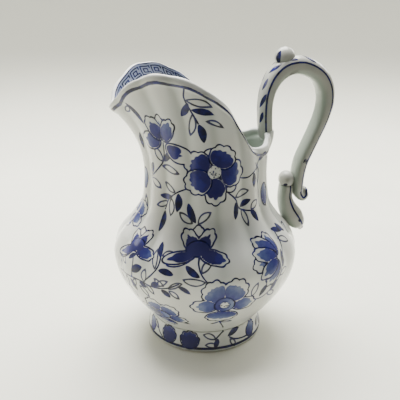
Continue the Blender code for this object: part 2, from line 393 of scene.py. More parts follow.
BLOSSOM = (
    Petal(94, 7.6, 10.8, 5.8, 0.35, Coat.BACK, 2.4, 5),
    Petal(173, 6.6, 10.6, 8.0, 0.66, Coat.BACK, 2.0, 5),
    Petal(119, 7.6, 11.8, 6.8, 0.80, Coat.MIDDLE, 2.2, 7),
    Petal(-27, 8.2, 13.4, 7.6, 0.84, Coat.MIDDLE, 3.6),
    Petal(66, 6.8, 11.4, 7.2, 0.70, Coat.FRONT, 1.4, 7),
)
SIDE_BLOOM = (
    Petal(232, 7.5, 12.0, 7.6, 0.58, Coat.BACK, 1.6, 7),
    Petal(100, 7.0, 12.0, 6.4, 0.66, Coat.BACK, 1.4, 7),
    Petal(180, 8.6, 14.0, 8.0, 0.48, Coat.MIDDLE, 3.2, 7),
    Petal(128, 8.4, 13.0, 7.4, 0.70, Coat.MIDDLE, 1.6, 7),
    Petal(156, 7.6, 13.0, 7.0, 0.64, Coat.FRONT, 1.8, 7),
    Petal(208, 7.4, 12.0, 6.6, 0.62, Coat.FRONT, 1.6, 5),
)


@dataclass(frozen=True)
class Flower:
    """A flower on the pot: where its base is, how it leans, how large and how blue it is."""

    turn: float
    height: float
    petals: tuple[Petal, ...]
    lean: float = 0.0
    scale: float = 1.0
    strength: float = 1.0
    eye: float = 0.0


@dataclass(frozen=True)
class Leaf:
    """A pointed leaf from its stalk: where it starts, which way it points and how long it is."""

    turn: float
    height: float
    heading: float
    length: float
    fill: Fill = Fill.SOLID
    width: float = 2.9


@dataclass(frozen=True)
class Bud:
    """A round bud, washed to its outline."""

    turn: float
    height: float
    length: float
    width: float
    heading: float = 90.0
    tone: float = 1.0
    scallops: int = 0


@dataclass(frozen=True)
class Stem:
    """A stalk through (turn, height) places."""

    places: tuple[Pair, ...]

    def fine(self) -> tuple[Array, Array]:
        """Places at close, even steps along the stalk's smooth curve.

        Returns:
            The turns and the heights.
        """
        at = np.arange(len(self.places), dtype=float)
        steps = np.linspace(0, at[-1], 6 * len(at))
        turns, heights = (smooth_through(list(zip(at, axis)), steps) for axis in zip(*self.places))
        return turns, heights


@dataclass(frozen=True)
class Garden:
    """What is painted on one side of a piece."""

    stems: tuple[Stem, ...]
    leaves: tuple[Leaf, ...]
    buds: tuple[Bud, ...]
    flowers: tuple[Flower, ...] = ()


SOLID, OPEN = Fill.SOLID, Fill.OPEN

# The wall's painting, as (degrees round from the lip's tip, millimetres above the table).
WALL_FLOWERS = (
    Flower(41, 103.5, BLOSSOM, scale=1.02),
    Flower(85, 92, PEONY, scale=0.91, eye=3.4),
    Flower(73, 58, IRIS, scale=0.95),
    Flower(29, 55, IRIS, lean=10, scale=0.80, strength=0.80),
    Flower(127, 52, SIDE_BLOOM),
    Flower(89.5, 34, OPEN_PEONY, scale=0.95, eye=2.7),
    Flower(46, 23, OPEN_PEONY, lean=-14, scale=0.78, strength=1.1),
)
WALL_STEMS = (
    Stem(((73, 129), (70, 125), (72, 120), (76, 114))),
    Stem(((41, 104), (40, 99), (38, 95), (30, 90), (21, 86))),
    Stem(((66, 85), (56, 83), (50, 81), (44, 78), (40, 73))),
    Stem(((96, 83), (104, 79), (107, 75), (114, 73), (123, 72))),
    Stem(((105, 89), (116, 88), (124, 90), (130, 92), (139, 96))),
    Stem(((129, 94), (130, 87), (134, 80), (135, 72))),
    Stem(((148, 97), (150, 85), (144, 71))),
    Stem(((74, 57), (74, 54), (76, 50), (80, 46))),
    Stem(((15, 41), (34, 42), (45, 41), (55, 42), (63, 45))),
    Stem(((41, 43), (47, 48), (50, 52), (50, 57))),
    Stem(((30, 52), (31, 48), (30, 42))),
    Stem(((103, 35), (114, 34), (121, 38), (126, 42), (130, 49), (136, 55), (139, 61))),
    Stem(((88, 25), (89, 21), (95, 14))),
)
WALL_LEAVES = (
    Leaf(71, 124, -18, 11, OPEN),
    Leaf(72, 123, -117, 7.5, SOLID, 3.2),
    Leaf(72, 120, -16, 10.5),
    Leaf(73, 118, -97, 9.5, OPEN),
    Leaf(76, 114, -74, 9, SOLID, 3.6),
    Leaf(83, 115, -22, 7.5, OPEN, 1.8),
    Leaf(38, 95, 118, 7.5, OPEN),
    Leaf(39, 95, 44, 8.0, SOLID, 3.3),
    Leaf(22, 87, 70, 7.4, SOLID, 3.8),
    Leaf(37, 93, -14, 9.5, OPEN),
    Leaf(23, 86, -30, 7, OPEN),
    Leaf(21, 121, -50, 13.5, SOLID, 2.6),
    Leaf(22, 119, -130, 4.5, OPEN, 2.4),
    Leaf(51, 82, 148, 7, OPEN, 2.4),
    Leaf(49, 80, 186, 8),
    Leaf(54, 82, -92, 9, SOLID, 3.6),
    Leaf(47, 79, -88, 8, OPEN),
    Leaf(43, 77, 205, 6.5, OPEN, 2.4),
    Leaf(40, 73, -92, 10.5, SOLID, 3.2),
    Leaf(104, 80, 16, 7.5, OPEN),
    Leaf(104, 78, -95, 8.5),
    Leaf(108, 75, 22, 7),
    Leaf(110, 74, -72, 8.5, OPEN, 2.4),
    Leaf(119, 73, -60, 7.5),
    Leaf(120, 73, 38, 5.5, OPEN),
    Leaf(124, 90, -86, 7.5),
    Leaf(136, 94, 46, 5.5),
    Leaf(131, 92, -80, 9, OPEN, 2.6),
    Leaf(70, 69, 113, 10, SOLID, 3.4),
    Leaf(67, 69, 143, 7.5, OPEN),
    Leaf(72, 69, 45, 7.5, OPEN),
    Leaf(76, 51, 52, 6.8, OPEN),
    Leaf(75, 49, 143, 8.5, SOLID, 3.3),
    Leaf(78, 47, 177, 10, OPEN, 3.1),
    Leaf(50, 55, 103, 8),
    Leaf(51, 56, 25, 5.5, OPEN, 2.2),
    Leaf(48, 50, 99, 9, OPEN, 2.6),
    Leaf(50, 50, -6, 8, SOLID, 3.1),
    Leaf(45, 41, 30, 5.8),
    Leaf(52, 41, -40, 6),
    Leaf(57, 42, 28, 7, OPEN, 2.2),
    Leaf(57, 41, -42, 6, OPEN, 2.2),
    Leaf(62, 44, -30, 7.4, SOLID, 2.4),
    Leaf(30, 45, 30, 7.5, SOLID, 4.0),
    Leaf(40, 42, 84, 6.2, OPEN),
    Leaf(36, 41, -22, 5),
    Leaf(36, 39, -50, 7, OPEN, 2.4),
    Leaf(24, 41, -100, 7, OPEN, 2.6),
    Leaf(20, 41, 110, 6.5, OPEN, 2.4),
    Leaf(28, 41, -64, 7.5, SOLID, 2.8),
    Leaf(33, 42, -118, 6.5, OPEN, 2.4),
    Leaf(25, 35, -70, 6.5, OPEN, 2.6),
    Leaf(24, 47, 140, 6.5, OPEN, 2.6),
    Leaf(26, 50, 40, 6.0, SOLID, 2.4),
    Leaf(15, 40, -60, 6.5, SOLID, 2.8),
    Leaf(49, 42, 32, 7.0, OPEN, 2.4),
    Leaf(54, 43, 150, 5.5, OPEN, 2.2),
    Leaf(42, 41, -50, 5.5, OPEN, 2.2),
    Leaf(106, 37, 68, 6.8, OPEN),
    Leaf(112, 35, 60, 7.4),
    Leaf(120, 36, 58, 7),
    Leaf(136, 62, -30, 7.5),
    Leaf(137, 58, -34, 7, OPEN),
    Leaf(130, 46, 76, 8.5, SOLID, 3.1),
    Leaf(127, 43, 12, 6.5, OPEN),
    Leaf(118, 36, -30, 6, OPEN),
    Leaf(89, 21, 205, 5, SOLID, 1.4),
    Leaf(89, 21, -12, 6, OPEN, 1.8),
    Leaf(48, 21, -24, 12, SOLID, 3.0),
    Leaf(10, 76, -88, 12, OPEN, 2.6),
    Leaf(12, 98, 84, 9, SOLID, 2.6),
    Leaf(150, 58, 120, 8),
    Leaf(154, 56, 40, 8, OPEN),
    Leaf(152, 55, -70, 9),
)
WALL_BUDS = (
    Bud(143, 77, 11, 4.4, 90, 0.62),
    Bud(8, 84, 10, 3.6, 90, 0.35),
)
WALL_GARDEN = Garden(WALL_STEMS, WALL_LEAVES, WALL_BUDS, WALL_FLOWERS)
BACK_FLOWERS = (
    Flower(0, 66, OPEN_PEONY, lean=20, scale=0.62, strength=1.1, eye=2.7),
    Flower(168, 34, PEONY, lean=30, scale=0.74, strength=0.8, eye=4.2),
    Flower(4, 30, IRIS, lean=-8, scale=0.72, strength=0.9),
)
FOOT_BUDS = (
    Bud(40, 6.2, 8.8, 8.6, 90, 1.06, 9),
    Bud(63, 6.1, 9.0, 9.6, 90, 1.12, 9),
    Bud(131, 6.5, 8.0, 6.4, 60, 0.62, 7),
    Bud(160, 6.2, 8.4, 7.6, 90, 0.88, 9),
    Bud(12, 6.2, 7.6, 6.4, 110, 0.62, 7),
)
FOOT_STEMS = (
    Stem(((97, 10.4), (95, 9.8), (92, 8.4), (88, 6.4))),
    Stem(((103, 6.8), (108, 5.2), (116, 4.3), (126, 3.9))),
    Stem(((20, 8.5), (26, 5.0), (32, 3.0))),
)
FOOT_LEAVES = (
    Leaf(77, 9.4, -24, 6.4, OPEN, 2.6),
    Leaf(91, 7.2, -110, 5.2, SOLID, 2.6),
    Leaf(101, 7.2, 24, 7.6, SOLID, 3.0),
    Leaf(104, 5.6, -60, 4.6, OPEN, 2.2),
    Leaf(79, 4.0, -10, 5.6, OPEN, 2.2),
    Leaf(144, 4.0, 60, 6.0),
    Leaf(24, 6.0, 130, 4.8, OPEN, 2.2),
)
FOOT_GARDEN = Garden(FOOT_STEMS, FOOT_LEAVES, FOOT_BUDS)


class Painting:
    """The signed distances that a surface's painting is made of, for every point of that surface.

    Shapes of one kind share a field where they stand apart, by keeping the nearest one's distance.
    Stalks that meet or pass close are given different fields, so that one never blots the other.
    """

    STALK_FIELDS = ("stalk_a", "stalk_b", "stalk_c")
    LEAF_FIELDS = ("leaf_a", "leaf_b")
    # A stencil touches points up to TOUCH + reach ** 2 / CURVE from its own plane.
    TOUCH = 1.5
    CURVE = 80.0
    FLOWER_REACH = 22.0
    # A petal with less margin than RUNS_IN runs into those beneath it, with its wash RUN_DEPTH deeper.
    RUNS_IN = 0.25
    RUN_DEPTH = 0.6
    # A covered outline is moved this far outside.
    COVERED = 0.05
    # How far a leaf's middle line bends, as a share of its length.
    LEAF_BEND = 0.05
    # How far a stalk is read to its side and past its ends, and how far apart two of one field stand.
    STALK_REACH = 1.6
    STALK_END = 0.3
    APART = 2.4

    def __init__(self, points: Array) -> None:
        """Starts a blank surface at these points, in millimetres.

        Args:
            points: The surface's points, one a row.
        """
        self.points = points
        blank = np.full(len(points), FAR)
        self.petals = {coat: blank.copy() for coat in Coat}
        self.solid = blank.copy()
        self.leaves = {name: blank.copy() for name in self.LEAF_FIELDS}
        self.leaf_centres: dict[str, list[tuple[Array, float]]] = {name: [] for name in self.LEAF_FIELDS}
        self.wash = -blank
        self.tone = np.zeros(len(points))
        self.eye = blank.copy()
        self.stalks = {name: (blank.copy(), blank.copy(), -blank) for name in self.STALK_FIELDS}
        self.stalk_lines: dict[str, list[Array]] = {name: [] for name in self.STALK_FIELDS}

    def near(self, spot: Spot, reach: float) -> tuple[Array, Array, Array]:
        """The numbers of the points that a stencil at the spot covers, and their flat places on it.

        Args:
            spot: Where the stencil is held.
            reach: How far the stencil reaches, in millimetres.

        Returns:
            The point numbers, and how far each is to the right of and above the spot.
        """
        u, v, out = spot.flat(self.points)
        inside = (np.hypot(u, v) < reach) & (np.abs(out) < self.TOUCH + reach**2 / self.CURVE)
        return np.flatnonzero(inside), u[inside], v[inside]

    def flower(self, spot: Spot, flower: Flower, reach: float = FLOWER_REACH) -> None:
        """Paints a flower's petals, from the back ones to the front ones, and then its eye.

        Args:
            spot: Where the flower's base is.
            flower: The flower.
            reach: How far its stencil reaches, in millimetres before scaling.
        """
        numbers, u, v = self.near(spot, reach * flower.scale)
        for petal in sorted(flower.petals, key=lambda petal: petal.coat):
            edge, wash, tone = petal.drawn(u, v, flower.lean, flower.scale)
            layer = self.petals[petal.coat]
            layer[numbers] = np.minimum(layer[numbers], edge)
            inside = edge < 0
            depth = wash if petal.tone > 0 else np.full_like(wash, -FAR)
            if petal.margin < self.RUNS_IN:
                inside &= wash > 0
                depth = np.maximum(depth + self.RUN_DEPTH, 0)
            covered = numbers[inside]
            self.wash[covered] = depth[inside]
            self.tone[covered] = tone[inside] * flower.strength
            for behind in range(petal.coat):
                hidden = self.petals[Coat(behind)]
                hidden[covered] = np.maximum(hidden[covered], self.COVERED)
        if flower.eye:
            disc = np.hypot(u, v) - flower.eye * flower.scale
            self.eye[numbers] = np.minimum(self.eye[numbers], disc)

    def bud(self, spot: Spot, bud: Bud) -> None:
        """Paints a bud as a flower of one petal, which the wash fills."""
        petal = Petal(bud.heading, 0, bud.length, bud.width, bud.tone, Coat.FRONT, 0.3, bud.scallops)
        self.flower(spot, Flower(bud.turn, bud.height, (petal,)), bud.length + bud.width)

    def leaf(self, spot: Spot, leaf: Leaf) -> None:
        """Paints a leaf: where two circles overlap, so the distance is the larger one's.

        Args:
            spot: Where the leaf starts.
            leaf: The leaf.
        """
        heading = math.radians(leaf.heading)
        numbers, u, v = self.near(spot, leaf.length + FAR)
        along = u * math.cos(heading) + v * math.sin(heading) - leaf.length / 2
        across = v * math.cos(heading) - u * math.sin(heading)
        across = across - self.LEAF_BEND * leaf.length * (1 - (2 * along / leaf.length) ** 2)
        radius = (leaf.length**2 + leaf.width**2) / (4 * leaf.width)
        off = radius - leaf.width / 2
        distance = np.hypot(along, np.abs(across) + off) - radius
        if leaf.fill is Fill.SOLID:
            self.solid[numbers] = np.minimum(self.solid[numbers], distance)
            return
        ahead = spot.right * math.cos(heading) + spot.up * math.sin(heading)
        middle = spot.origin + leaf.length / 2 * ahead

        def clear(other: tuple[Array, float]) -> bool:
            """Whether another open leaf, by its middle and length, is far enough away."""
            return np.linalg.norm(middle - other[0]) > (leaf.length + other[1]) / 2

        name = self.freest(self.leaf_centres, clear)
        self.leaf_centres[name].append((middle, leaf.length))
        layer = self.leaves[name]
        layer[numbers] = np.minimum(layer[numbers], distance)

    @staticmethod
    def freest(taken: dict[str, list[Any]], clear: Callable[[Any], bool]) -> str:
        """The first field whose shapes all stand clear of a new one, or the last field.

        Args:
            taken: The shapes that each field holds, by the field's name.
            clear: Says whether a shape stands clear of the new one.

        Returns:
            The field's name.
        """
        free = (name for name, others in taken.items() if all(clear(other) for other in others))
        return next(free, list(taken)[-1])

    def stalk(self, line: Array, outs: Array) -> None:
        """Paints a stalk along a line of points.

        Its side is the signed distance across the nearest leg, and its run is how far inside both ends
        and within reach of the line a point is, so that ink shows only where the run is above 0.

        Args:
            line: The stalk's points in order, in millimetres.
            outs: The directions out of the surface at those points.
        """

        def clear(other: Array) -> bool:
            """Whether another stalk's line is far enough away."""
            return np.linalg.norm(line[:, None] - other[None], axis=2).min() > self.APART

        name = self.freest(self.stalk_lines, clear)
        start, leg = line[:-1], np.diff(line, axis=0)
        length = np.linalg.norm(leg, axis=1)
        ahead = leg / length[:, None]
        aside = unit(np.cross(outs[:-1], ahead))
        begun = np.cumsum(length) - length
        middle, reach = line.mean(axis=0), np.ptp(line, axis=0).max() + FAR
        numbers = np.flatnonzero(np.linalg.norm(self.points - middle, axis=1) < reach)
        away = self.points[numbers, None, :] - start[None]
        along = np.einsum("psk,sk->ps", away, ahead)
        low = np.where(np.arange(len(leg)) == 0, -np.inf, 0.0)
        high = np.where(np.arange(len(leg)) == len(leg) - 1, np.inf, length)
        held = np.clip(along, low, high)
        gap = away - held[..., None] * ahead
        distance = np.linalg.norm(gap, axis=2)
        nearest = distance.argmin(axis=1)
        pick = np.arange(len(numbers)), nearest
        side = np.einsum("pk,pk->p", gap[pick], aside[nearest])
        run = begun[nearest] + held[pick]
        within = np.minimum(run, length.sum() - run) + self.STALK_END
        within = np.minimum(within, self.STALK_REACH - distance[pick])
        best, sides, runs = self.stalks[name]
        closer = distance[pick] < best[numbers]
        chosen = numbers[closer]
        best[chosen] = distance[pick][closer]
        sides[chosen] = side[closer]
        runs[chosen] = within[closer]
        self.stalk_lines[name].append(line)

    def plant(self, garden: Garden, at: Callable[[float, float], Spot]) -> None:
        """Paints a garden's stalks, leaves, buds and flowers, in that order.

        Args:
            garden: What to paint.
            at: Gives the spot on the surface for a turn and a height.
        """
        for stem in garden.stems:
            spots = [at(turn, height) for turn, height in zip(*stem.fine())]
            self.stalk(np.array([spot.origin for spot in spots]), np.array([spot.out for spot in spots]))
        for paint, things in (
            (self.leaf, garden.leaves),
            (self.bud, garden.buds),
            (self.flower, garden.flowers),
        ):
            for thing in things:
                paint(at(thing.turn, thing.height), thing)

    def fields(self) -> dict[str, Array]:
        """Every distance by name, for a surface's attributes.

        Returns:
            One number a point, by the attribute's name.
        """
        named = {
            **{coat.label(): distance for coat, distance in self.petals.items()},
            "solid": self.solid,
            "wash": self.wash,
            "tone": self.tone,
            "eye": self.eye,
            **self.leaves,
        }
        for name, (_, side, run) in self.stalks.items():
            named[name] = np.clip(side, -FAR, FAR)
            named[name + "_run"] = run
        return {name: np.clip(values, -FAR, FAR) for name, values in named.items()}


# ---------------------------------------------------------------- shader maths


@dataclass(frozen=True)
class Value:
    """A shader number: arithmetic on it adds Math nodes to its material."""

    tree: "Canvas"
    socket: Any

    def _math(self, operation: str, *others: "Value | float", first: bool = True) -> "Value":
        """This number and others through one Math node."""
        inputs = [self, *others] if first else [*others, self]
        return self.tree.value("ShaderNodeMath", {"operation": operation}, dict(enumerate(inputs)))

    def __add__(self, other: "Value | float") -> "Value":
        """The sum."""
        return self._math("ADD", other)

    __radd__ = __add__

    def __sub__(self, other: "Value | float") -> "Value":
        """The difference."""
        return self._math("SUBTRACT", other)

    def __rsub__(self, other: "Value | float") -> "Value":
        """The difference, the other way round."""
        return self._math("SUBTRACT", other, first=False)

    def __mul__(self, other: "Value | float") -> "Value":
        """The product."""
        return self._math("MULTIPLY", other)

    __rmul__ = __mul__

    def __truediv__(self, other: "Value | float") -> "Value":
        """The quotient."""
        return self._math("DIVIDE", other)

    def __abs__(self) -> "Value":
        """The size without the sign."""
        return self._math("ABSOLUTE")

    def most(self, other: "Value | float") -> "Value":
        """The larger of the two."""
        return self._math("MAXIMUM", other)

    def least(self, other: "Value | float") -> "Value":
        """The smaller of the two."""
        return self._math("MINIMUM", other)

    def fraction(self) -> "Value":
        """What is left after the whole number."""
        return self._math("FRACT")

    def step(self, low: "Value | float", high: "Value | float") -> "Value":
        """0 at low, 1 at high and an even S between, which falls where low is above high."""
        inputs = {"Value": self, "From Min": low, "From Max": high, "To Min": 0.0, "To Max": 1.0}
        return self.tree.value("ShaderNodeMapRange", {"interpolation_type": "SMOOTHSTEP"}, inputs, "Result")

    def between(self, band: Band) -> "Value":
        """1 inside a band and 0 outside it, with an S at both of its ends."""
        return self.step(*band[0]) * self.step(*band[1])


class Canvas:
    """The node tree of a material or world, and the few calls that fill it."""

    def __init__(self, owner: bpy.types.Material | bpy.types.World) -> None:
        """Empties the tree of a new material or world.

        Args:
            owner: The material or world.
        """
        owner.use_nodes = True
        self.owner = owner
        self.tree = owner.node_tree
        self.tree.nodes.clear()

    def node(self, kind: str, settings: dict[str, Any], inputs: dict[Any, Any]) -> bpy.types.Node:
        """Adds one node.

        Args:
            kind: The node's type.
            settings: Its own properties, set before its sockets.
            inputs: Its sockets by name or number, each a Value, another node's socket or a constant.

        Returns:
            The node.
        """
        made = self.tree.nodes.new(kind)
        for name, setting in settings.items():
            if name == "stops":
                self._ramp(made, setting)
            else:
                setattr(made, name, setting)
        for key, given in inputs.items():
            source = given.socket if isinstance(given, Value) else given
            if isinstance(source, bpy.types.NodeSocket):
                self.tree.links.new(source, made.inputs[key])
            else:
                made.inputs[key].default_value = source
        return made

    @staticmethod
    def _ramp(node: bpy.types.Node, stops: Sequence[tuple[float, Triple]]) -> None:
        """Gives a colour ramp its (position, colour) stops.

        Args:
            node: The colour ramp's node.
            stops: Positions from 0 to 1 and the colours there.
        """
        ramp = node.color_ramp
        while len(ramp.elements) > 1:
            ramp.elements.remove(ramp.elements[-1])
        ramp.elements[0].position, ramp.elements[0].color = stops[0][0], (*stops[0][1], 1)
        for position, colour in stops[1:]:
            ramp.elements.new(position).color = (*colour, 1)

    def value(self, kind: str, settings: dict[str, Any], inputs: dict[Any, Any], output: Any = 0) -> Value:
        """Adds a node and gives one of its outputs as a number."""
        return Value(self, self.node(kind, settings, inputs).outputs[output])

    def attribute(self, name: str) -> Value:
        """A number stored at the surface's points."""
        return self.value("ShaderNodeAttribute", {"attribute_name": name}, {}, "Fac")

    def place(self) -> Any:
        """The surface's place on the object."""
        return self.node("ShaderNodeTexCoord", {}, {}).outputs["Object"]

    def along(self, axis: str) -> Value:
        """The surface's place along one of the object's axes, in metres."""
        return self.value("ShaderNodeSeparateXYZ", {}, {0: self.place()}, axis)

    def noise(self, size: float, detail: float) -> Value:
        """Soft noise about 0.5, with lumps of this size in metres and this many finer layers."""
        inputs = {"Vector": self.place(), "Scale": 1 / size, "Detail": detail}
        return self.value("ShaderNodeTexNoise", {}, inputs)

    def sway(self, size: float, detail: float, most: float) -> Value:
        """Soft noise about 0 that reaches half of the most to either side."""
        return (self.noise(size, detail) - 0.5) * most

    def cells(self, size: float) -> Value:
        """The distance to the nearest of scattered dots this far apart, as a share of that."""
        inputs = {"Vector": self.place(), "Scale": 1 / size}
        return self.value("ShaderNodeTexVoronoi", {}, inputs, "Distance")

    def ramp(self, at: Value, stops: Sequence[tuple[float, Triple]]) -> Any:
        """A colour read from a ramp."""
        return self.node("ShaderNodeValToRGB", {"stops": stops}, {0: at}).outputs[0]

    def mix(self, share: Value | float, below: Any, above: Any) -> Any:
        """One colour laid over another by this share.

        Args:
            share: How much of the upper colour shows, from 0 to 1.
            below: The lower colour.
            above: The upper colour.

        Returns:
            The mixed colour's socket.
        """
        settings = {"data_type": "RGBA", "clamp_factor": True}
        colours = {key: (*c, 1) if isinstance(c, tuple) else c for key, c in ((6, below), (7, above))}
        return self.node("ShaderNodeMix", settings, {0: share, **colours}).outputs[2]

    def finish(self, colour: Any, roughness: Value, normal: Any, constants: dict[str, float]) -> None:
        """Joins the colour, roughness and bumps to one glossy shader and the output.

        Args:
            colour: The base colour.
            roughness: The roughness.
            normal: The bumps' normal.
            constants: Plain values for the shader's other sockets.
        """
        inputs = {"Base Color": colour, "Roughness": roughness, "Normal": normal, **constants}
        shader = self.node("ShaderNodeBsdfPrincipled", {}, inputs)
        self.node("ShaderNodeOutputMaterial", {}, {"Surface": shader.outputs[0]})

    def bump(self, height: Value, depth: float) -> Any:
        """A normal bent by a height of 0 to 1, this many metres deep."""
        return self.node("ShaderNodeBump", {}, {"Height": height, "Distance": depth}).outputs[0]


# ---------------------------------------------------------------- finishes


class Mark(enum.Enum):
    """Painted lines that a piece has besides flowers, leaves and stalks."""

    RIM_LINE = "rim line"
    FRET = "fret band"
    FOOT_LINE = "foot line"
    EDGE_LINE = "edge line"


@dataclass(frozen=True)
class PaintedGlaze:
    """Glossy white glaze over cobalt painting.

    The glaze is a greenish white, a little uneven, and deeper where it pools in the grooves, which are
    also darkened as painted shade, as are the pot's inside wall and the handle's inner face. Ink is nearly
    black where it lies thick and navy where it lies thinner; washes go from pale greyish blue to deep
    cobalt by tone.
    """

    name: str
    marks: frozenset[Mark] = frozenset()
    flowers: bool = False
    # Whether the piece has the darker tint: pooled glaze and painted shade.
    pooled: bool = False
    white: Triple = (0.66, 0.685, 0.655)
    # The darker tint, for pooled glaze and for painted shade.
    pool: Triple = (0.24, 0.285, 0.24)
    warm: Triple = (0.70, 0.70, 0.655)
    bare: Triple = (0.42, 0.37, 0.27)
    ink_thick: Triple = (0.001, 0.0014, 0.024)
    ink_thin: Triple = (0.004, 0.008, 0.13)
    fret_wash: Triple = (0.16, 0.22, 0.50)
    speck: Triple = (0.20, 0.19, 0.16)
    # A brushed line's half width and how softly it ends, in millimetres.
    line_half_width: float = 0.39
    softness: float = 0.13
    # Bands in millimetres: under the rim, above the table, and under the rim's inner edge.
    rim_line: Band = ((3.55, 3.85), (5.7, 5.3))
    foot_line: Band = ((1.4, 1.65), (3.0, 2.7))
    fret_ground: Band = ((0.9, 1.2), (8.5, 8.2))
    fret_band: Band = ((1.95, 2.05), (7.45, 7.35))
    # The square spiral's stroke, its two rings and its hook, as shares of its cell.
    fret_stroke: Pair = (0.075, 0.035)
    fret_rings: Pair = (0.40, 0.17)
    fret_hook: Pair = (0.28, 0.17)
    # How thick ink, wash and open leaves' outlines lie, as shares.
    ink_cover: float = 0.97
    wash_cover: float = 0.96
    leaf_cover: float = 0.94
    # Height of the glaze's waves, in metres.
    relief: float = 0.00024
    specular: float = 0.26
    ior: float = 1.5

    @classmethod
    def shaded_grey(cls, name: str, marks: frozenset[Mark] = frozenset(), pooled: bool = False) -> "PaintedGlaze":
        """The glaze of the handle and its trimmings, its whites darkened to grey as painted shade."""
        # Painted shade: the same glaze with darker whites.
        return cls(name, marks, pooled=pooled, white=(0.39, 0.40, 0.365), warm=(0.43, 0.43, 0.39))

    def material(self) -> bpy.types.Material:
        """The finish as a material: white glaze, then washes, then ink, then bare clay.

        Returns:
            The material.
        """
        canvas = Canvas(bpy.data.materials.new(self.name))
        wobble = canvas.sway(0.0016, 2, 0.26)
        ink = self._ink(canvas, wobble, canvas.sway(0.0042, 2, 0.34) + self.line_half_width)
        colour = self._white(canvas)
        if self.flowers:
            colour = self._washed(canvas, colour, wobble)
        if Mark.FRET in self.marks:
            depth = canvas.attribute("inner_depth") + wobble
            band = depth.between(self.fret_ground) * (canvas.noise(0.006, 2) * 0.5 + 0.4)
            colour = canvas.mix(band, colour, self.fret_wash)
        thickness = canvas.noise(0.0030, 3).step(0.34, 0.72)
        navy = canvas.mix(thickness, self.ink_thick, self.ink_thin)
        colour = canvas.mix(ink * self.ink_cover, colour, navy)
        roughness = canvas.noise(0.010, 3) * 0.05 + 0.085 + ink * 0.05
        colour, roughness = self._unglazed(canvas, colour, roughness)
        waves = canvas.noise(0.016, 2) * 0.75 + canvas.noise(0.0024, 2) * 0.10 + ink * 0.06
        constants = {"IOR": self.ior, "Specular IOR Level": self.specular}
        canvas.finish(colour, roughness, canvas.bump(waves, self.relief), constants)
        return canvas.owner

    def _white(self, canvas: Canvas) -> Any:
        """The unpainted glaze: two whites in soft clouds, specks, and glaze pooled in hollows with painted
        shade.

        Args:
            canvas: The material that is being made.

        Returns:
            The colour.
        """
        clouds = canvas.noise(0.024, 3).step(0.3, 0.75)
        colour = canvas.mix(clouds, self.white, self.warm)
        if self.pooled:
            # Darker tint: glaze pooled in the grooves, and painted shade there, down the inside and on the
            # handle's inner face.
            colour = canvas.mix(canvas.attribute("pool"), colour, self.pool)
        specks = canvas.cells(0.0042).step(0.075, 0.03) * canvas.noise(0.02, 1).step(0.56, 0.66)
        return canvas.mix(specks * 0.35, colour, self.speck)

    def _ink(self, canvas: Canvas, wobble: Value, half: Value) -> Value:
        """How much ink lies on each place, from 0 to 1.

        Args:
            canvas: The material that is being made.
            wobble: The brush's small unsteadiness, in millimetres.
            half: The brushed lines' half width, in millimetres.

        Returns:
            The share of ink.
        """
        soft = self.softness

        def line(distance: Value) -> Value:
            """Ink on both sides of a distance of 0, as wide as the brush."""
            return abs(distance + wobble * 0.6).step(half + soft, half - soft)

        def bare(distance: Value) -> Value:
            """1 outside a petal and 0 inside it."""
            return distance.step(-0.1, 0.1)

        ink = (canvas.attribute("solid") + wobble).step(soft, -soft)
        for mark in self._marks(canvas, wobble):
            ink = ink.most(mark)
        for name in Painting.LEAF_FIELDS:
            ink = ink.most(line(canvas.attribute(name)) * self.leaf_cover)
        for name in Painting.STALK_FIELDS:
            run = canvas.attribute(name + "_run").step(-0.05, 0.25)
            ink = ink.most(line(canvas.attribute(name)) * run)
        if not self.flowers:
            return ink
        for coat in Coat:
            petals = canvas.attribute(coat.label())
            ink = (ink * bare(petals)).most(line(petals))
        return self._eye(canvas, ink)

    def _eye(self, canvas: Canvas, ink: Value) -> Value:
        """Clears a flower's eye and fills it with a broken ring and stipple.

        Args:
            canvas: The material that is being made.
            ink: The ink so far.

        Returns:
            The ink with the eyes in it.
        """
        eye = canvas.attribute("eye")
        broken = canvas.noise(0.0015, 1).step(0.42, 0.56)
        ring = abs(eye).step(0.34, 0.12) * broken
        dots = canvas.cells(0.0012).step(0.46, 0.34) * (eye + 0.3).step(0.1, -0.1)
        dots = dots * canvas.noise(0.0022, 1).step(0.36, 0.44)
        clear = eye.step(-self.softness, self.softness)
        return (ink * clear).most(ring).most(dots * 0.85)

    def _washed(self, canvas: Canvas, colour: Any, wobble: Value) -> Any:
        """Cobalt wash inside the petals: streaked, darker where it dried at its edge.

        Args:
            canvas: The material that is being made.
            colour: The glaze beneath.
            wobble: The brush's small unsteadiness, in millimetres.

        Returns:
            The colour with the washes on it.
        """
        wash, tone, eye = (canvas.attribute(name) for name in ("wash", "tone", "eye"))
        edge = wash + wobble * 1.6
        cover = edge.step(-0.28, 0.30)
        dried = edge.step(0.9, 0.1) * 0.10
        streaks = canvas.sway(0.0020, 3, 0.46) + canvas.sway(0.0060, 2, 0.46)
        depth = tone + streaks * tone.least(0.7) + dried
        stops = (
            (0.0, (0.58, 0.64, 0.72)),
            (0.30, (0.17, 0.215, 0.37)),
            (0.52, (0.050, 0.072, 0.23)),
            (0.75, (0.011, 0.016, 0.17)),
            (0.92, (0.003, 0.004, 0.15)),
            (1.0, (0.001, 0.001, 0.10)),
        )
        blue = canvas.ramp(depth, stops)
        shown = cover * eye.step(-0.9, -0.3).most(eye.step(0.0, 0.4))
        return canvas.mix(shown * self.wash_cover, colour, blue)

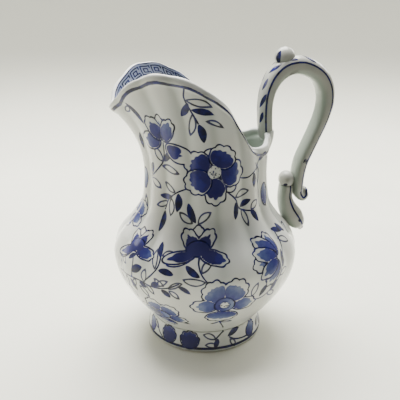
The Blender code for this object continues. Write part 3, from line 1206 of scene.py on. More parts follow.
    def _marks(self, canvas: Canvas, wobble: Value) -> list[Value]:
        """The painted lines that follow a piece's edges.

        Args:
            canvas: The material that is being made.
            wobble: The brush's small unsteadiness, in millimetres.

        Returns:
            The ink of each line, from 0 to 1.
        """
        marks = []
        if Mark.RIM_LINE in self.marks:
            below = canvas.attribute("below_rim") + wobble * 1.6 + canvas.sway(0.011, 2, 0.9)
            marks.append(below.between(self.rim_line))
        if Mark.FRET in self.marks:
            marks.append(self._fret(canvas, wobble))
        if Mark.FOOT_LINE in self.marks:
            up = canvas.attribute("foot_height") + wobble * 0.7
            marks.append(up.between(self.foot_line))
        if Mark.EDGE_LINE in self.marks:
            edge = canvas.attribute("edge") + wobble * 0.7 + canvas.sway(0.010, 2, 0.35)
            marks.append(abs(edge).step(0.62, 0.38))
        return marks

    def _fret(self, canvas: Canvas, wobble: Value) -> Value:
        """A band of square spirals under the rim's inner edge, between two lines.

        In each cell of the band, a ring is where the larger of the two distances from the cell's middle
        lies between two limits. The outer ring opens at one corner, where it joins the next cell's.

        Args:
            canvas: The material that is being made.
            wobble: The brush's small unsteadiness, in millimetres.

        Returns:
            The band's ink, from 0 to 1.
        """
        depth = canvas.attribute("inner_depth") + wobble * 0.5
        run = canvas.attribute("fret_run")
        across = run.fraction() - 0.5
        down = (depth - 2.0) / 5.4 - 0.5
        size = abs(across).most(abs(down))
        outer, inner = (abs(size - ring).step(*self.fret_stroke) for ring in self.fret_rings)
        opening = across.step(0.20, 0.28) * down.between(((-0.2, -0.12), (0.24, 0.16)))
        along, below = self.fret_hook
        hook = abs(across - along).step(0.16, 0.12) * abs(down - below).step(*self.fret_stroke)
        spiral = (outer * (1 - opening)).most(inner).most(hook)
        lines = abs(depth - 1.1).step(0.46, 0.26).most(abs(depth - 8.3).step(0.40, 0.22))
        return (spiral * depth.between(self.fret_band)).most(lines)

    def _unglazed(self, canvas: Canvas, colour: Any, roughness: Value) -> tuple[Any, Value]:
        """Bare, slightly stained clay on the standing edge, where the piece has one.

        Args:
            canvas: The material that is being made.
            colour: The colour so far.
            roughness: The roughness so far.

        Returns:
            The colour and the roughness with the clay laid over them.
        """
        if Mark.FOOT_LINE not in self.marks:
            return colour, roughness
        up = canvas.attribute("foot_height") + canvas.sway(0.003, 2, 0.4)
        bare = up.step(0.55, 0.30)
        return canvas.mix(bare, colour, self.bare), roughness + bare * 0.45


@dataclass(frozen=True)
class PaleTable:
    """Pale matt paper, faintly mottled; painted shade greys the wall and darkens the table's near edge."""

    name: str = "pale_ground"
    light: Triple = (0.82, 0.82, 0.72)
    shade: Triple = (0.78, 0.78, 0.68)
    # Painted shade: the wall's colour up high, as though less light reached it.
    wall: Triple = (0.25, 0.25, 0.215)
    # Painted shade: the table near the camera, outside the view, so that it throws less light onto the jug.
    near_edge_shade: Triple = (0.05, 0.05, 0.048)

    def material(self) -> bpy.types.Material:
        """The finish as a material.

        Returns:
            The material.
        """
        canvas = Canvas(bpy.data.materials.new(self.name))
        mottle = canvas.noise(0.08, 3).step(0.3, 0.7)
        grain = canvas.noise(0.0012, 2)
        colour = canvas.mix(mottle, self.shade, self.light)
        # Painted shade, greyer up the wall.
        colour = canvas.mix(canvas.along("Z").step(-0.02, 0.11), colour, self.wall)
        # Painted shade, nearly black towards the camera.
        colour = canvas.mix(canvas.along("Y").step(-0.11, -0.19), colour, self.near_edge_shade)
        canvas.finish(colour, grain * 0.1 + 0.75, canvas.bump(grain, 0.00005), {})
        return canvas.owner


# ---------------------------------------------------------------- the pot


@dataclass(frozen=True)
class Pot:
    """The pot's wall: a lobed belly and neck, drawn out above into the lip and its rim."""

    wall: float = 2.8
    floor_top: float = 14.6
    floor_hollow: float = 1.5
    # Heights and radii up the belly to the neck, in millimetres.
    profile: tuple[Pair, ...] = (
        (10.8, 27.9),
        (14.0, 30.3),
        (20.0, 35.2),
        (27.0, 40.2),
        (34.0, 43.8),
        (41.0, 45.8),
        (48.0, 46.0),
        (55.0, 43.0),
        (62.0, 36.9),
        (69.0, 32.4),
        (76.0, 31.0),
        (84.0, 30.3),
    )
    # The rim's crest as bearing from the lip's tip, radius and height.
    rim: tuple[Triple, ...] = (
        (0.0, 44.1, 118.6),
        (12.0, 43.3, 123.4),
        (26.0, 40.6, 130.6),
        (40.0, 38.1, 134.3),
        (54.0, 36.1, 134.3),
        (70.0, 34.1, 131.2),
        (85.0, 32.2, 125.6),
        (98.0, 30.4, 118.8),
        (108.0, 29.2, 110.6),
        (118.0, 28.9, 103.2),
        (130.0, 29.0, 100.9),
        (146.0, 29.4, 100.6),
        (158.0, 29.6, 102.6),
        (170.0, 29.6, 103.8),
        (180.0, 29.6, 104.0),
    )
    lobes: int = 15
    first_groove: float = -16.0
    lobe_depth: tuple[Pair, ...] = (
        (10.8, 0.0),
        (27.0, 0.1),
        (40.0, 0.35),
        (50.0, 0.9),
        (60.0, 1.4),
        (72.0, 1.35),
        (84.0, 1.2),
    )
    rim_lobe_depth: float = 0.9
    groove_softness: float = 0.27
    lip_flare: float = 2.45
    bead_height: float = 3.6
    bead_swell: float = 0.7
    # How many columns the wall's slant is averaged over, and the least that it may face outwards.
    evening: int = 33
    least_facing: float = 0.7
    columns: int = 374
    belly_rows: int = 140
    lip_rows: int = 66
    crest_rows: int = 9
    inner_lip_rows: int = 18
    inner_belly_rows: int = 26
    floor_shares: tuple[float, ...] = (0.94, 0.8, 0.6, 0.4, 0.2)
    fret_cells: int = 30

    def rim_at(self, bearing: Array) -> tuple[Array, Array]:
        """The rim's radius and height at bearings from the lip's tip, to either side alike.

        Args:
            bearing: Degrees from the lip's tip.

        Returns:
            The radii and the heights.
        """
        first, last = self.rim[1], self.rim[-2]
        knots = [(-first[0], *first[1:]), *self.rim, (360 - last[0], *last[1:])]
        radius = smooth_through([knot[:2] for knot in knots], bearing)
        height = smooth_through([knot[::2] for knot in knots], bearing)
        return radius, height

    def rim_places(self, turn: Array) -> tuple[Array, Array, Array]:
        """The rim's crest above each turn round the pot: equal turns reach equal lengths of rim.

        Args:
            turn: Turns from the lip's tip, in radians, below 0 on the side at -Y.

        Returns:
            The crest's x, y and height.
        """
        bearing = np.linspace(0.0, 180.0, 721)
        radius, _ = self.rim_at(bearing)
        angle = np.radians(bearing)
        path = np.stack([-radius * np.cos(angle), radius * np.sin(angle)], axis=1)
        length = travel_along(path)
        reached = np.interp(np.abs(turn) / math.pi * length[-1], length, bearing)
        radius, height = self.rim_at(reached)
        angle = np.radians(reached)
        return -radius * np.cos(angle), np.sign(turn) * radius * np.sin(angle), height

    def groove(self, turn: Array) -> Array:
        """1 along the groove between two lobes and 0 on a crown, with a rounded bottom.

        Args:
            turn: Turns in radians.

        Returns:
            The share of the groove's depth at each turn.
        """
        wave = np.sin(self.lobes / 2 * (turn - math.radians(self.first_groove)))
        soft = self.groove_softness
        return 1 - (np.sqrt(wave**2 + soft**2) - soft) / (math.sqrt(1 + soft**2) - soft)

    def belly(self, turn: Array, heights: Array, inset: Array | float, lobed: bool) -> Array:
        """The wall below the neck: radius = profile - inset - groove depth, turned about the axis.

        Args:
            turn: Turns of the columns, in radians.
            heights: Heights of the rows.
            inset: How far inside the outer wall, for each row or for all.
            lobed: Whether the grooves are cut.

        Returns:
            Points as rows, columns and coordinates.
        """
        depth = smooth_through(self.lobe_depth, heights)[:, None] * self.groove(turn) * float(lobed)
        radius = (smooth_through(self.profile, heights) - inset)[:, None] - depth
        return turned(radius, turn, heights[:, None])

    def lip(self, turn: Array, rises: Array, inset: float, lobed: bool) -> Array:
        """The wall above the neck: the neck's circle blended into the rim's plan by rise ** flare.

        Args:
            turn: Turns of the columns, in radians.
            rises: 0 at the neck to 1 at the rim, for each row.
            inset: How far inside the outer wall.
            lobed: Whether the grooves are cut.

        Returns:
            Points as rows, columns and coordinates.
        """
        neck_height, neck_radius = self.profile[-1]
        rim_x, rim_y, crest = self.rim_places(turn)
        rim_height = crest - self.wall / 2
        rise = rises[:, None]
        blend = rise**self.lip_flare
        x = (1 - blend) * -neck_radius * np.cos(turn) + blend * rim_x
        y = (1 - blend) * neck_radius * np.sin(turn) + blend * rim_y
        height = neck_height + (rim_height - neck_height) * rise
        below = rim_height - height
        bead = self.bead_swell * np.sin(math.pi * np.clip(below / self.bead_height, 0, 1))
        depth = self.lobe_depth[-1][1] * (1 - rise) + self.rim_lobe_depth * rise
        cut = depth * self.groove(turn) * float(lobed)
        step_x = np.roll(x, -1, axis=1) - np.roll(x, 1, axis=1)
        step_y = np.roll(y, -1, axis=1) - np.roll(y, 1, axis=1)
        length = np.hypot(step_x, step_y)
        sign = -np.sign((step_y * x - step_x * y).sum())
        out_x, out_y = -sign * step_y / length, sign * step_x / length
        facing = np.clip((x * out_x + y * out_y) / np.hypot(x, y), self.least_facing, 1.0)
        slant = self.evened(1 / facing)
        move = self.wall / 2 * blend + bead - cut - inset * slant
        return np.stack([x + out_x * move, y + out_y * move, height], axis=2)

    def evened(self, values: Array) -> Array:
        """Values round the ring with their sharp corners smoothed away.

        Args:
            values: Rows of values, with their columns round the pot.

        Returns:
            Rows of averaged values.
        """
        half = self.evening // 2
        wide = np.concatenate([values[:, -half:], values, values[:, :half]], axis=1)
        return np.apply_along_axis(np.convolve, 1, wide, rounding(self.evening), "valid")

    def turns(self) -> Array:
        """The columns' turns, from one side of the handle round to the other."""
        return -math.pi + (np.arange(self.columns) + 0.5) * 2 * math.pi / self.columns

    def crest(self, outer: Array, inner: Array) -> Array:
        """The rim's rounded edge: a half circle from the outer ring over to the inner one.

        Args:
            outer: The outer ring's points.
            inner: The inner ring's points.

        Returns:
            The crest's points as rows, columns and coordinates.
        """
        angle = np.linspace(0, math.pi, self.crest_rows + 2)[1:-1, None, None]
        middle, half = (outer + inner) / 2, (outer - inner) / 2
        thick = np.linalg.norm(half, axis=1, keepdims=True)
        return middle + half * np.cos(angle) + UP * thick * np.sin(angle)

    def even_heights(self) -> Array:
        """Heights of the belly's rows, equally far apart along the wall.

        Returns:
            Heights in rising order.
        """
        heights = np.linspace(self.profile[0][0], self.profile[-1][0], 400)
        travel = travel_along(np.stack([smooth_through(self.profile, heights), heights], axis=1))
        return np.interp(np.linspace(0, travel[-1], self.belly_rows, endpoint=False), travel, heights)

    def surface(self) -> tuple[Array, int, int]:
        """The whole wall: up the outside, over the rim and down the inside to the floor's middle.

        Returns:
            Points as rows, columns and coordinates, then how many rows lie outside and on the crest.
        """
        turn = self.turns()
        outside = [self.belly(turn, self.even_heights(), 0.0, True)]
        outside.append(self.lip(turn, np.linspace(0, 1, self.lip_rows), 0.0, True))
        inner_rim = self.lip(turn, np.ones(1), self.wall, False)
        crest = self.crest(outside[-1][-1], inner_rim[0])
        rises = np.linspace(1, 0, self.inner_lip_rows, endpoint=False)[1:]
        neck, floor_edge = self.profile[-1][0], self.floor_top + self.floor_hollow
        heights = np.linspace(neck, floor_edge, self.inner_belly_rows)
        slope = smooth_through(self.profile, heights + 0.5) - smooth_through(self.profile, heights - 0.5)
        inside = [inner_rim, self.lip(turn, rises, self.wall, False)]
        inside.append(self.belly(turn, heights, self.wall * np.hypot(1, slope), False))
        edge = np.hypot(inside[-1][-1, :, 0], inside[-1][-1, :, 1]).mean()
        shares = np.array(self.floor_shares)[:, None]
        floor = turned(edge * shares, turn, self.floor_top + self.floor_hollow * shares**6)
        rows = np.concatenate([*outside, crest, *inside, floor])
        return rows, self.belly_rows + self.lip_rows, self.crest_rows

    def spot(self, turn: float, height: float) -> Spot:
        """A place on the outer wall and its directions: right is level and away from the lip.

        Args:
            turn: Degrees round from the lip's tip, below 0 on the side at -Y.
            height: Millimetres above the table.

        Returns:
            The spot, whose directions mirror from one side to the other.
        """
        side = -1.0 if turn < 0 else 1.0
        grid = self.patch(np.radians(turn + np.array([-1.0, 0.0, 1.0])), height)
        round_it, up = grid[1, 2] - grid[1, 0], grid[2, 1] - grid[0, 1]
        out = unit(np.cross(round_it, up))
        out = out * np.sign(out[:2] @ grid[1, 1, :2])
        level = unit(np.cross(UP, out))
        right = level * np.sign(level @ round_it) * side
        rising = unit(np.cross(out, level))
        return Spot(grid[1, 1], right, rising * np.sign(rising[2]), out)

    def patch(self, turn: Array, height: float) -> Array:
        """Three rows of smooth wall about a height, at these turns.

        Args:
            turn: Turns in radians.
            height: The middle row's height.

        Returns:
            Points as rows, columns and coordinates, in millimetres.
        """
        neck_height, neck_radius = self.profile[-1]
        rim_x, rim_y, crest = self.rim_places(turn)
        heights = height + np.array([-0.5, 0.0, 0.5])
        radius = smooth_through(self.profile, np.clip(heights, self.profile[0][0], neck_height))[:, None]
        top = crest - self.wall / 2
        rise = np.clip((heights[:, None] - neck_height) / (top - neck_height), 0, 1)
        blend = rise**self.lip_flare
        swell = 1 + self.wall / 2 * blend / neck_radius
        x = ((1 - blend) * -radius * np.cos(turn) + blend * rim_x) * swell
        y = ((1 - blend) * radius * np.sin(turn) + blend * rim_y) * swell
        return np.stack([x, y, np.broadcast_to(heights[:, None], x.shape)], axis=2)


@dataclass
class Body:
    """The painted pot, inside and outside, as one closed wall."""

    shift: Array
    pot: Pot = field(default_factory=Pot)
    far_side_turn: float = 4.0
    # The turns, in radians, between which the square-spiral band ends on both sides.
    fret_end: Pair = (1.72, 1.76)
    band_depth: float = 7.5
    # How far below the band the painted shade on the inside wall sets in and is full.
    inside_shade_starts: Pair = (2.0, 4.5)
    # How strongly the grooves darken: pooled glaze, and painted shade there.
    groove_pool_and_shade: float = 0.28
    # Distances from the rim are kept up to this far.
    rim_reach: float = 40.0
    # Where the inside's points are moved to while the outside is painted.
    out_of_reach: float = 10000.0

    def build(self) -> bpy.types.Object:
        """Makes the wall, paints both its sides and glazes it.

        Returns:
            The object, with its glaze.
        """
        rows, outside, crest = self.pot.surface()
        grid = Grid(rows)
        fields = self.measures(grid, outside, crest)
        painting = self.painted(grid, outside)
        made = grid.build("jug_body", self.shift, {**fields, **painting.fields()})
        glaze = PaintedGlaze(
            "painted_body_glaze",
            frozenset({Mark.RIM_LINE, Mark.FRET}),
            flowers=True,
            pooled=True,
        )
        made.data.materials.append(glaze.material())
        return made

    def measures(self, grid: Grid, outside: int, crest: int) -> dict[str, Array]:
        """How far each point lies below the rim outside and inside, and the darker tint: glaze pooled in
        the grooves with painted shade, and painted shade down the inside wall.

        Args:
            grid: The wall.
            outside: How many of its rows are outside.
            crest: How many are on the rim's crest.

        Returns:
            Attributes by name.
        """
        travel = travel_along(grid.points)
        top = travel[outside + crest // 2]
        below = np.clip(top - travel, -FAR, self.rim_reach)
        inner = np.clip(travel - top, -FAR, self.rim_reach)
        turn = self.pot.turns()
        past_fret = soft_step(np.abs(turn), *self.fret_end)
        run = np.broadcast_to((turn / math.pi / 2 + 0.5) * self.pot.fret_cells, travel.shape)
        low, high = self.pot.profile[0][0], self.pot.profile[-1][0]
        depth = smooth_through(self.pot.lobe_depth, np.clip(grid.points[..., 2], low, high))
        is_outside = (np.arange(grid.rows) < outside)[:, None]
        # The grooves: pooled glaze, with painted shade in them too.
        pooled_shade_in_grooves = self.pot.groove(turn) ** 2 * depth * self.groove_pool_and_shade * is_outside
        limits = (self.band_depth + start for start in self.inside_shade_starts)
        # Painted shade down the inside wall, setting in nearer the rim beyond the fret band's ends.
        inside_shade = soft_step(inner + self.band_depth * past_fret, *limits)
        named = {
            "below_rim": below,
            "inner_depth": inner + self.rim_reach * past_fret * (inner > 0),
            "fret_run": run,
            "pool": np.maximum(pooled_shade_in_grooves, inside_shade),
        }
        return {name: grid.spread(values) for name, values in named.items()}

    def painted(self, grid: Grid, outside: int) -> Painting:
        """The wall's painting: the same garden on both sides, turned a little on the far one.

        Args:
            grid: The wall.
            outside: How many of its rows are outside.

        Returns:
            The painting.
        """
        points = grid.vertices()
        points[outside * grid.columns :] = self.out_of_reach
        painting = Painting(points)
        painting.plant(WALL_GARDEN, lambda turn, height: self.pot.spot(-turn, height))
        painting.plant(WALL_GARDEN, lambda turn, height: self.pot.spot(turn + self.far_side_turn, height))
        for flower in BACK_FLOWERS:
            painting.flower(self.pot.spot(flower.turn, flower.height), flower)
        return painting


# ---------------------------------------------------------------- foot and handle


@dataclass
class Foot:
    """The turned foot ring with its painted band."""

    shift: Array
    # Radii and heights round the ring's section, from its top outside to its top inside.
    profile: tuple[Pair, ...] = (
        (28.2, 10.6),
        (28.5, 8.6),
        (28.8, 6.0),
        (29.3, 3.6),
        (29.7, 2.0),
        (29.7, 1.0),
        (29.4, 0.3),
        (29.0, 0.0),
        (25.8, 0.0),
        (25.2, 0.6),
        (23.6, 4.0),
        (21.6, 10.6),
    )
    # Where the outer face is, and from which radius outwards it is painted.
    face_radius: float = 29.0
    glazed_from: float = 27.4
    columns: int = 300
    rows: int = 150
    # How many places round the section a corner is averaged over.
    softness: int = 7

    def build(self) -> bpy.types.Object:
        """Makes the ring, paints its band and glazes it.

        Returns:
            The object, with its glaze.
        """
        grid = Grid(self.surface(), looped=True)
        painting = self.painted(grid)
        height = {"foot_height": grid.spread(self.band_height(grid))}
        made = grid.build("jug_foot", self.shift, {**height, **painting.fields()})
        glaze = PaintedGlaze("painted_foot_glaze", frozenset({Mark.FOOT_LINE}), flowers=True)
        made.data.materials.append(glaze.material())
        return made

    def surface(self) -> Array:
        """The section's closed outline, its corners rounded by averaging, turned about the axis.

        Returns:
            Points as rows, columns and coordinates, in millimetres.
        """
        outline = np.array([*self.profile, self.profile[0]])
        travel = travel_along(outline)
        at = np.linspace(0, travel[-1], self.rows, endpoint=False)
        ring = np.stack([np.interp(at, travel, outline[:, k]) for k in (0, 1)], axis=1)
        kernel = rounding(self.softness + 2)[1:-1]
        half = self.softness // 2
        wide = np.concatenate([ring[-half:], ring, ring[:half]])
        ring = np.stack([np.convolve(wide[:, k], kernel, "valid") for k in (0, 1)], axis=1)
        return turned(ring[:, :1], circle(self.columns), ring[:, 1:])

    def band_height(self, grid: Grid) -> Array:
        """Heights on the outer face, and none on the inner one, which stays unglazed."""
        radius = np.hypot(grid.points[..., 0], grid.points[..., 1])
        return np.where(radius > self.glazed_from, grid.points[..., 2], 0.0)

    def spot(self, turn: float, height: float) -> Spot:
        """A place on the ring's outer face and its directions there.

        Args:
            turn: Degrees round from the lip's tip, below 0 on the side at -Y.
            height: Millimetres above the table.

        Returns:
            The spot, whose directions mirror from one side to the other.
        """
        angle = math.radians(turn)
        out = np.array([-math.cos(angle), math.sin(angle), 0.0])
        round_it = np.array([math.sin(angle), math.cos(angle), 0.0]) * (-1.0 if turn < 0 else 1.0)
        return Spot(out * self.face_radius + UP * height, round_it, UP, out)

    def painted(self, grid: Grid) -> Painting:
        """The band of buds and leaves, alike on both sides.

        Args:
            grid: The ring.

        Returns:
            The painting.
        """
        painting = Painting(grid.vertices())
        painting.plant(FOOT_GARDEN, lambda turn, height: self.spot(-turn, height))
        painting.plant(FOOT_GARDEN, self.spot)
        return painting


@dataclass(frozen=True)
class Strap:
    """A strap swept along a path in the plane through lip and handle, with rounded ends.

    The section at angle t round it is (width / 2 * cos t ** side, thickness / 2 * sin t ** face), with a
    smaller power, and so a flatter face, on the side towards the finger gap.
    """

    # x, height, width and thickness at places along the path.
    stations: tuple[tuple[float, float, float, float], ...]
    rows: int = 120
    columns: int = 72
    start_round: float = 1.5
    end_round: float = 1.5
    side_power: float = 0.78
    outer_power: float = 0.92
    inner_power: float = 0.66
    end_rows: int = 8
    edge_angle: float = 20.0
    # How strongly painted shade darkens the face towards the finger gap.
    inner_depth: float = 0.85

    def path(self) -> tuple[Array, Array, Array]:
        """The path's points, its directions, and the width and thickness there.

        Returns:
            Points and unit directions as (x, height), and (width, thickness) pairs.
        """
        stations = np.array(self.stations)
        reach = travel_along(stations[:, :2])
        at = np.linspace(0, reach[-1], self.rows)
        fine = np.stack([smooth_through(list(zip(reach, column)), at) for column in stations.T], axis=1)
        return fine[:, :2], unit(np.gradient(fine[:, :2], axis=0)), fine[:, 2:]

    def angles(self) -> Array:
        """The section's angles: 0 at the far side's edge, a quarter turn on at the outer face."""
        return 2 * math.pi * (np.arange(self.columns) + 0.5) / self.columns

    def surface(self) -> Array:
        """Points as rows, columns and coordinates, its rounded ends among them.

        Returns:
            Points as rows, columns and coordinates, in millimetres.
        """
        points, ahead, size = self.path()
        angle = np.linspace(1.45, 0, self.end_rows, endpoint=False)
        shrink = np.concatenate([np.cos(angle), np.ones(self.rows), np.cos(angle[::-1])])[:, None]
        push = np.sin(angle)[:, None]
        start = points[0] - ahead[0] * self.start_round * push
        end = points[-1] + ahead[-1] * self.end_round * push[::-1]
        points = np.concatenate([start, points, end])
        longer = [(self.end_rows, self.end_rows), (0, 0)]
        ahead = np.pad(ahead, longer, "edge")
        size = np.pad(size, longer, "edge") * shrink
        t = self.angles()
        cos, sin = np.cos(t), np.sin(t)
        face = np.where(sin > 0, self.outer_power, self.inner_power)
        across = size[:, :1] / 2 * np.sign(cos) * np.abs(cos) ** self.side_power
        outward = size[:, 1:] / 2 * np.sign(sin) * np.abs(sin) ** face
        x = points[:, :1] - outward * ahead[:, 1:]
        z = points[:, 1:] + outward * ahead[:, :1]
        return np.stack([x, across, z], axis=2)

    def edge_field(self, points: Array) -> Array:
        """The signed distance round the section from the edge line, which is just on the outer face.

        Args:
            points: The surface's points as rows, columns and coordinates.

        Returns:
            A distance in millimetres for each row and column.
        """
        fold = np.arcsin(np.sin(self.angles())) - math.radians(self.edge_angle)
        step = np.roll(points, -1, axis=1) - np.roll(points, 1, axis=1)
        speed = np.linalg.norm(step, axis=2) * self.columns / (4 * math.pi)
        return np.clip(fold * speed, -FAR, FAR)

    def spot(self, share: float, across: float = 0.0) -> Spot:
        """A place on the outer face, this share of the way along and this far across.

        Args:
            share: 0 at the start of the strap to 1 at its end.
            across: Millimetres towards +Y.

        Returns:
            The spot.
        """
        points, ahead, size = self.path()
        i = round(share * (self.rows - 1))
        out = np.array([-ahead[i, 1], 0.0, ahead[i, 0]])
        up = np.array([ahead[i, 0], 0.0, ahead[i, 1]])
        origin = np.array([points[i, 0], across, points[i, 1]]) + out * size[i, 1] / 2
        return Spot(origin, AWAY, up, out)

    def build(self, name: str, shift: Array, leaves: Sequence[tuple[Spot, Leaf]] = ()) -> bpy.types.Object:
        """Makes the strap and paints leaves on it.

        Args:
            name: The object's name.
            shift: Where the pot's axis is on the frame.
            leaves: Leaves and the spots to paint them at.

        Returns:
            The object, without a material.
        """
        grid = Grid(self.surface())
        painting = Painting(grid.vertices())
        for spot, leaf in leaves:
            painting.leaf(spot, leaf)
        # Painted shade on the face towards the finger gap.
        inner_face_shade = soft_step(-np.sin(self.angles()), 0.0, 0.6) * np.ones((len(grid.points), 1))
        own = {
            "edge": grid.spread(self.edge_field(grid.points)),
            "pool": grid.spread(self.inner_depth * inner_face_shade),
        }
        return grid.build(name, shift, {**own, **painting.fields()})


HANDLE = Strap(
    stations=(
        (29.9, 100.6, 11.0, 5.4),
        (29.5, 104.3, 12.0, 6.1),
        (29.0, 111.0, 12.5, 6.3),
        (29.1, 117.6, 12.6, 6.4),
        (30.5, 124.0, 12.6, 7.0),
        (33.6, 129.6, 12.6, 8.2),
        (38.4, 133.4, 12.6, 9.0),
        (44.4, 134.5, 12.6, 9.1),
        (50.6, 132.8, 12.6, 8.9),
        (56.0, 129.0, 12.6, 8.6),
        (59.2, 123.2, 12.5, 8.0),
        (59.9, 116.8, 12.4, 7.4),
        (58.5, 109.4, 12.2, 6.6),
        (55.6, 101.8, 12.0, 6.1),
        (52.2, 94.0, 11.8, 6.0),
        (49.3, 86.8, 11.6, 6.0),
        (48.0, 79.6, 11.4, 5.8),
        (47.9, 72.9, 11.0, 5.2),
        (48.1, 70.4, 10.4, 4.6),
    ),
    rows=300,
)
ROOT = Strap(
    stations=(
        (30.6, 103.6, 12.0, 6.0),
        (30.6, 100.5, 11.6, 5.6),
        (30.2, 96.5, 10.2, 4.4),
        (29.6, 92.4, 7.0, 2.6),
    ),
    rows=60,
    start_round=1.2,
    end_round=1.2,
)
SCROLL = Strap(
    stations=(
        (47.9, 73.4, 10.9, 5.2),
        (48.7, 69.9, 10.6, 4.8),
        (50.4, 68.3, 10.0, 4.3),
        (51.9, 69.3, 9.0, 3.7),
        (52.3, 71.5, 6.6, 2.4),
    ),
    rows=90,
    edge_angle=6.0,
)
LOWER_STEM = Strap(
    stations=(
        (42.1, 74.4, 9.4, 6.4),
        (42.0, 68.0, 10.2, 7.0),
        (43.8, 62.2, 11.4, 9.2),
        (47.0, 57.0, 12.0, 10.4),
        (49.6, 53.4, 10.4, 7.4),
        (51.0, 51.4, 6.0, 3.6),
    ),
    rows=90,
    edge_angle=16.0,
)


@dataclass
class Handle:
    """The strap handle with the block it rises from, its curled tail and the stem under it."""

    shift: Array
    strokes: int = 30
    stroke_lean: float = 24.0
    stroke_length: float = 7.6
    stroke_width: float = 2.5
    # The shares of the strap's length where the strokes start and how far they go on.
    strokes_from: float = 0.03
    strokes_over: float = 0.92
    # How far a stroke stands to the side of the middle.
    stroke_side: float = 1.5

    def build(self) -> dict[str, bpy.types.Object]:
        """Makes the four straps and glazes them.

        Returns:
            The objects by the CAD node that each stands for.
        """
        made = {
            "handle_strap": HANDLE.build("jug_handle", self.shift, self.leaf_strokes()),
            "handle_root": ROOT.build("jug_handle_root", self.shift),
            "scroll_tail": SCROLL.build("jug_scroll_tail", self.shift),
            "lower_stem": LOWER_STEM.build("jug_lower_stem", self.shift, self.stem_dot()),
        }
        # The straps' grey glaze is painted shade, and their face towards the finger gap gets more painted
        # shade.
        edged = PaintedGlaze.shaded_grey("painted_handle_glaze", frozenset({Mark.EDGE_LINE}), pooled=True)
        plain = PaintedGlaze("plain_root_glaze")
        for node, piece in made.items():
            piece.data.materials.append((plain if node == "handle_root" else edged).material())
        return made

    def leaf_strokes(self) -> list[tuple[Spot, Leaf]]:
        """Leaf strokes up the strap's outer face, leaning to the two sides in turn.

        Returns:
            The strokes with their spots.
        """
        strokes = []
        for k in range(self.strokes):
            side = -1 if k % 2 else 1
            share = self.strokes_from + self.strokes_over * k / self.strokes
            heading = 90 - side * (self.stroke_lean + 8 * math.sin(2.3 * k))
            length = self.stroke_length - 0.8 * math.sin(1.7 * k)
            leaf = Leaf(0, 0, heading, length, SOLID, self.stroke_width)
            strokes.append((HANDLE.spot(share, side * self.stroke_side), leaf))
        return strokes

    @staticmethod
    def stem_dot() -> list[tuple[Spot, Leaf]]:
        """A dab of blue low on the stem's near side.

        Returns:
            The dab with its spot.
        """
        spot = LOWER_STEM.spot(0.8)
        place = spot.origin + np.array([-4.0, -6.0, -1.0])
        return [(Spot(place, spot.up, spot.out, -AWAY), Leaf(0, 0, 0, 2.0, SOLID, 1.6))]


@dataclass
class Knob:
    """The thumb knob: a ball on a flared neck, turned about the handle's outward direction."""

    shift: Array
    centre: Triple = (38.0, 0.0, 138.0)
    radius: float = 5.0
    axis: Triple = (-0.413, 0.0, 0.911)
    columns: int = 96
    rows: int = 70
    # Places along the axis and radii of the neck, as shares of the ball's radius.
    neck: tuple[Pair, ...] = ((-1.5, 1.30), (-1.25, 1.14), (-1.0, 1.0), (-0.75, 0.90))
    # The ball's lowest latitude, where the neck meets it, and its highest, just short of the pole.
    latitudes: Pair = (math.asin(-0.5), 1.52)
    # Which side the dab is on, and how far below the ball's middle it starts.
    dab_side: Triple = (-0.84, -0.54, 0.0)
    dab_drop: float = 3.2

    def build(self) -> bpy.types.Object:
        """Makes the knob with a dark dab on the side towards the lip.

        Returns:
            The object, with its glaze.
        """
        grid = Grid(self.surface())
        painting = Painting(grid.vertices())
        side = unit(np.array(self.dab_side))
        place = np.array(self.centre) + side * self.radius - UP * self.dab_drop
        painting.leaf(Spot(place, unit(np.cross(UP, side)), UP, side), Leaf(0, 0, 88, 6.8, SOLID, 2.9))
        made = grid.build("jug_thumb_knob", self.shift, painting.fields())
        # The knob's grey glaze is painted shade.
        made.data.materials.append(PaintedGlaze.shaded_grey("painted_knob_glaze").material())
        return made

    def surface(self) -> Array:
        """The knob's rows from its neck to its top: the neck's curve, then radius = cos of the latitude.

        Returns:
            Points as rows, columns and coordinates, in millimetres.
        """
        latitude = np.linspace(*self.latitudes, self.rows)
        neck = np.array(self.neck)
        along = np.concatenate([neck[:, 0], np.sin(latitude)])[:, None] * self.radius
        radius = np.concatenate([neck[:, 1], np.cos(latitude)])[:, None, None] * self.radius
        axis = np.array(self.axis)
        turn = circle(self.columns)[:, None]
        ring = np.cos(turn) * np.cross(axis, AWAY) + np.sin(turn) * AWAY
        return np.array(self.centre) + along[:, None] * axis + radius * ring


@dataclass
class Bead:
    """The bead between the strap's lower end and the stem, with a dark dot on its side."""

    shift: Array
    centre: Triple = (42.1, 0.0, 77.6)
    radii: Triple = (3.9, 5.0, 4.4)
    pole: float = 1.53
    # Where the dot starts, from the bead's middle.
    dot: Triple = (-2.6, -5.0, -2.0)
    columns: int = 80
    rows: int = 50

    def build(self) -> bpy.types.Object:
        """Makes the bead: each radius times the cosine or sine of longitude and latitude.

        Returns:
            The object, with its glaze.
        """
        latitude = np.linspace(-self.pole, self.pole, self.rows)[:, None]
        turn = circle(self.columns)
        level = np.cos(latitude)
        form = np.broadcast_arrays(level * np.cos(turn), level * np.sin(turn), np.sin(latitude))
        grid = Grid(np.array(self.centre) + np.stack(form, axis=2) * np.array(self.radii))
        painting = Painting(grid.vertices())
        place = np.array(self.centre) + np.array(self.dot)
        painting.leaf(Spot(place, np.array([1.0, 0.0, 0.0]), UP, -AWAY), Leaf(0, 0, 10, 2.0, SOLID, 1.7))
        made = grid.build("jug_inner_bead", self.shift, painting.fields())
        # The bead's grey glaze is painted shade.
        made.data.materials.append(PaintedGlaze.shaded_grey("painted_bead_glaze").material())
        return made


# ---------------------------------------------------------------- surroundings


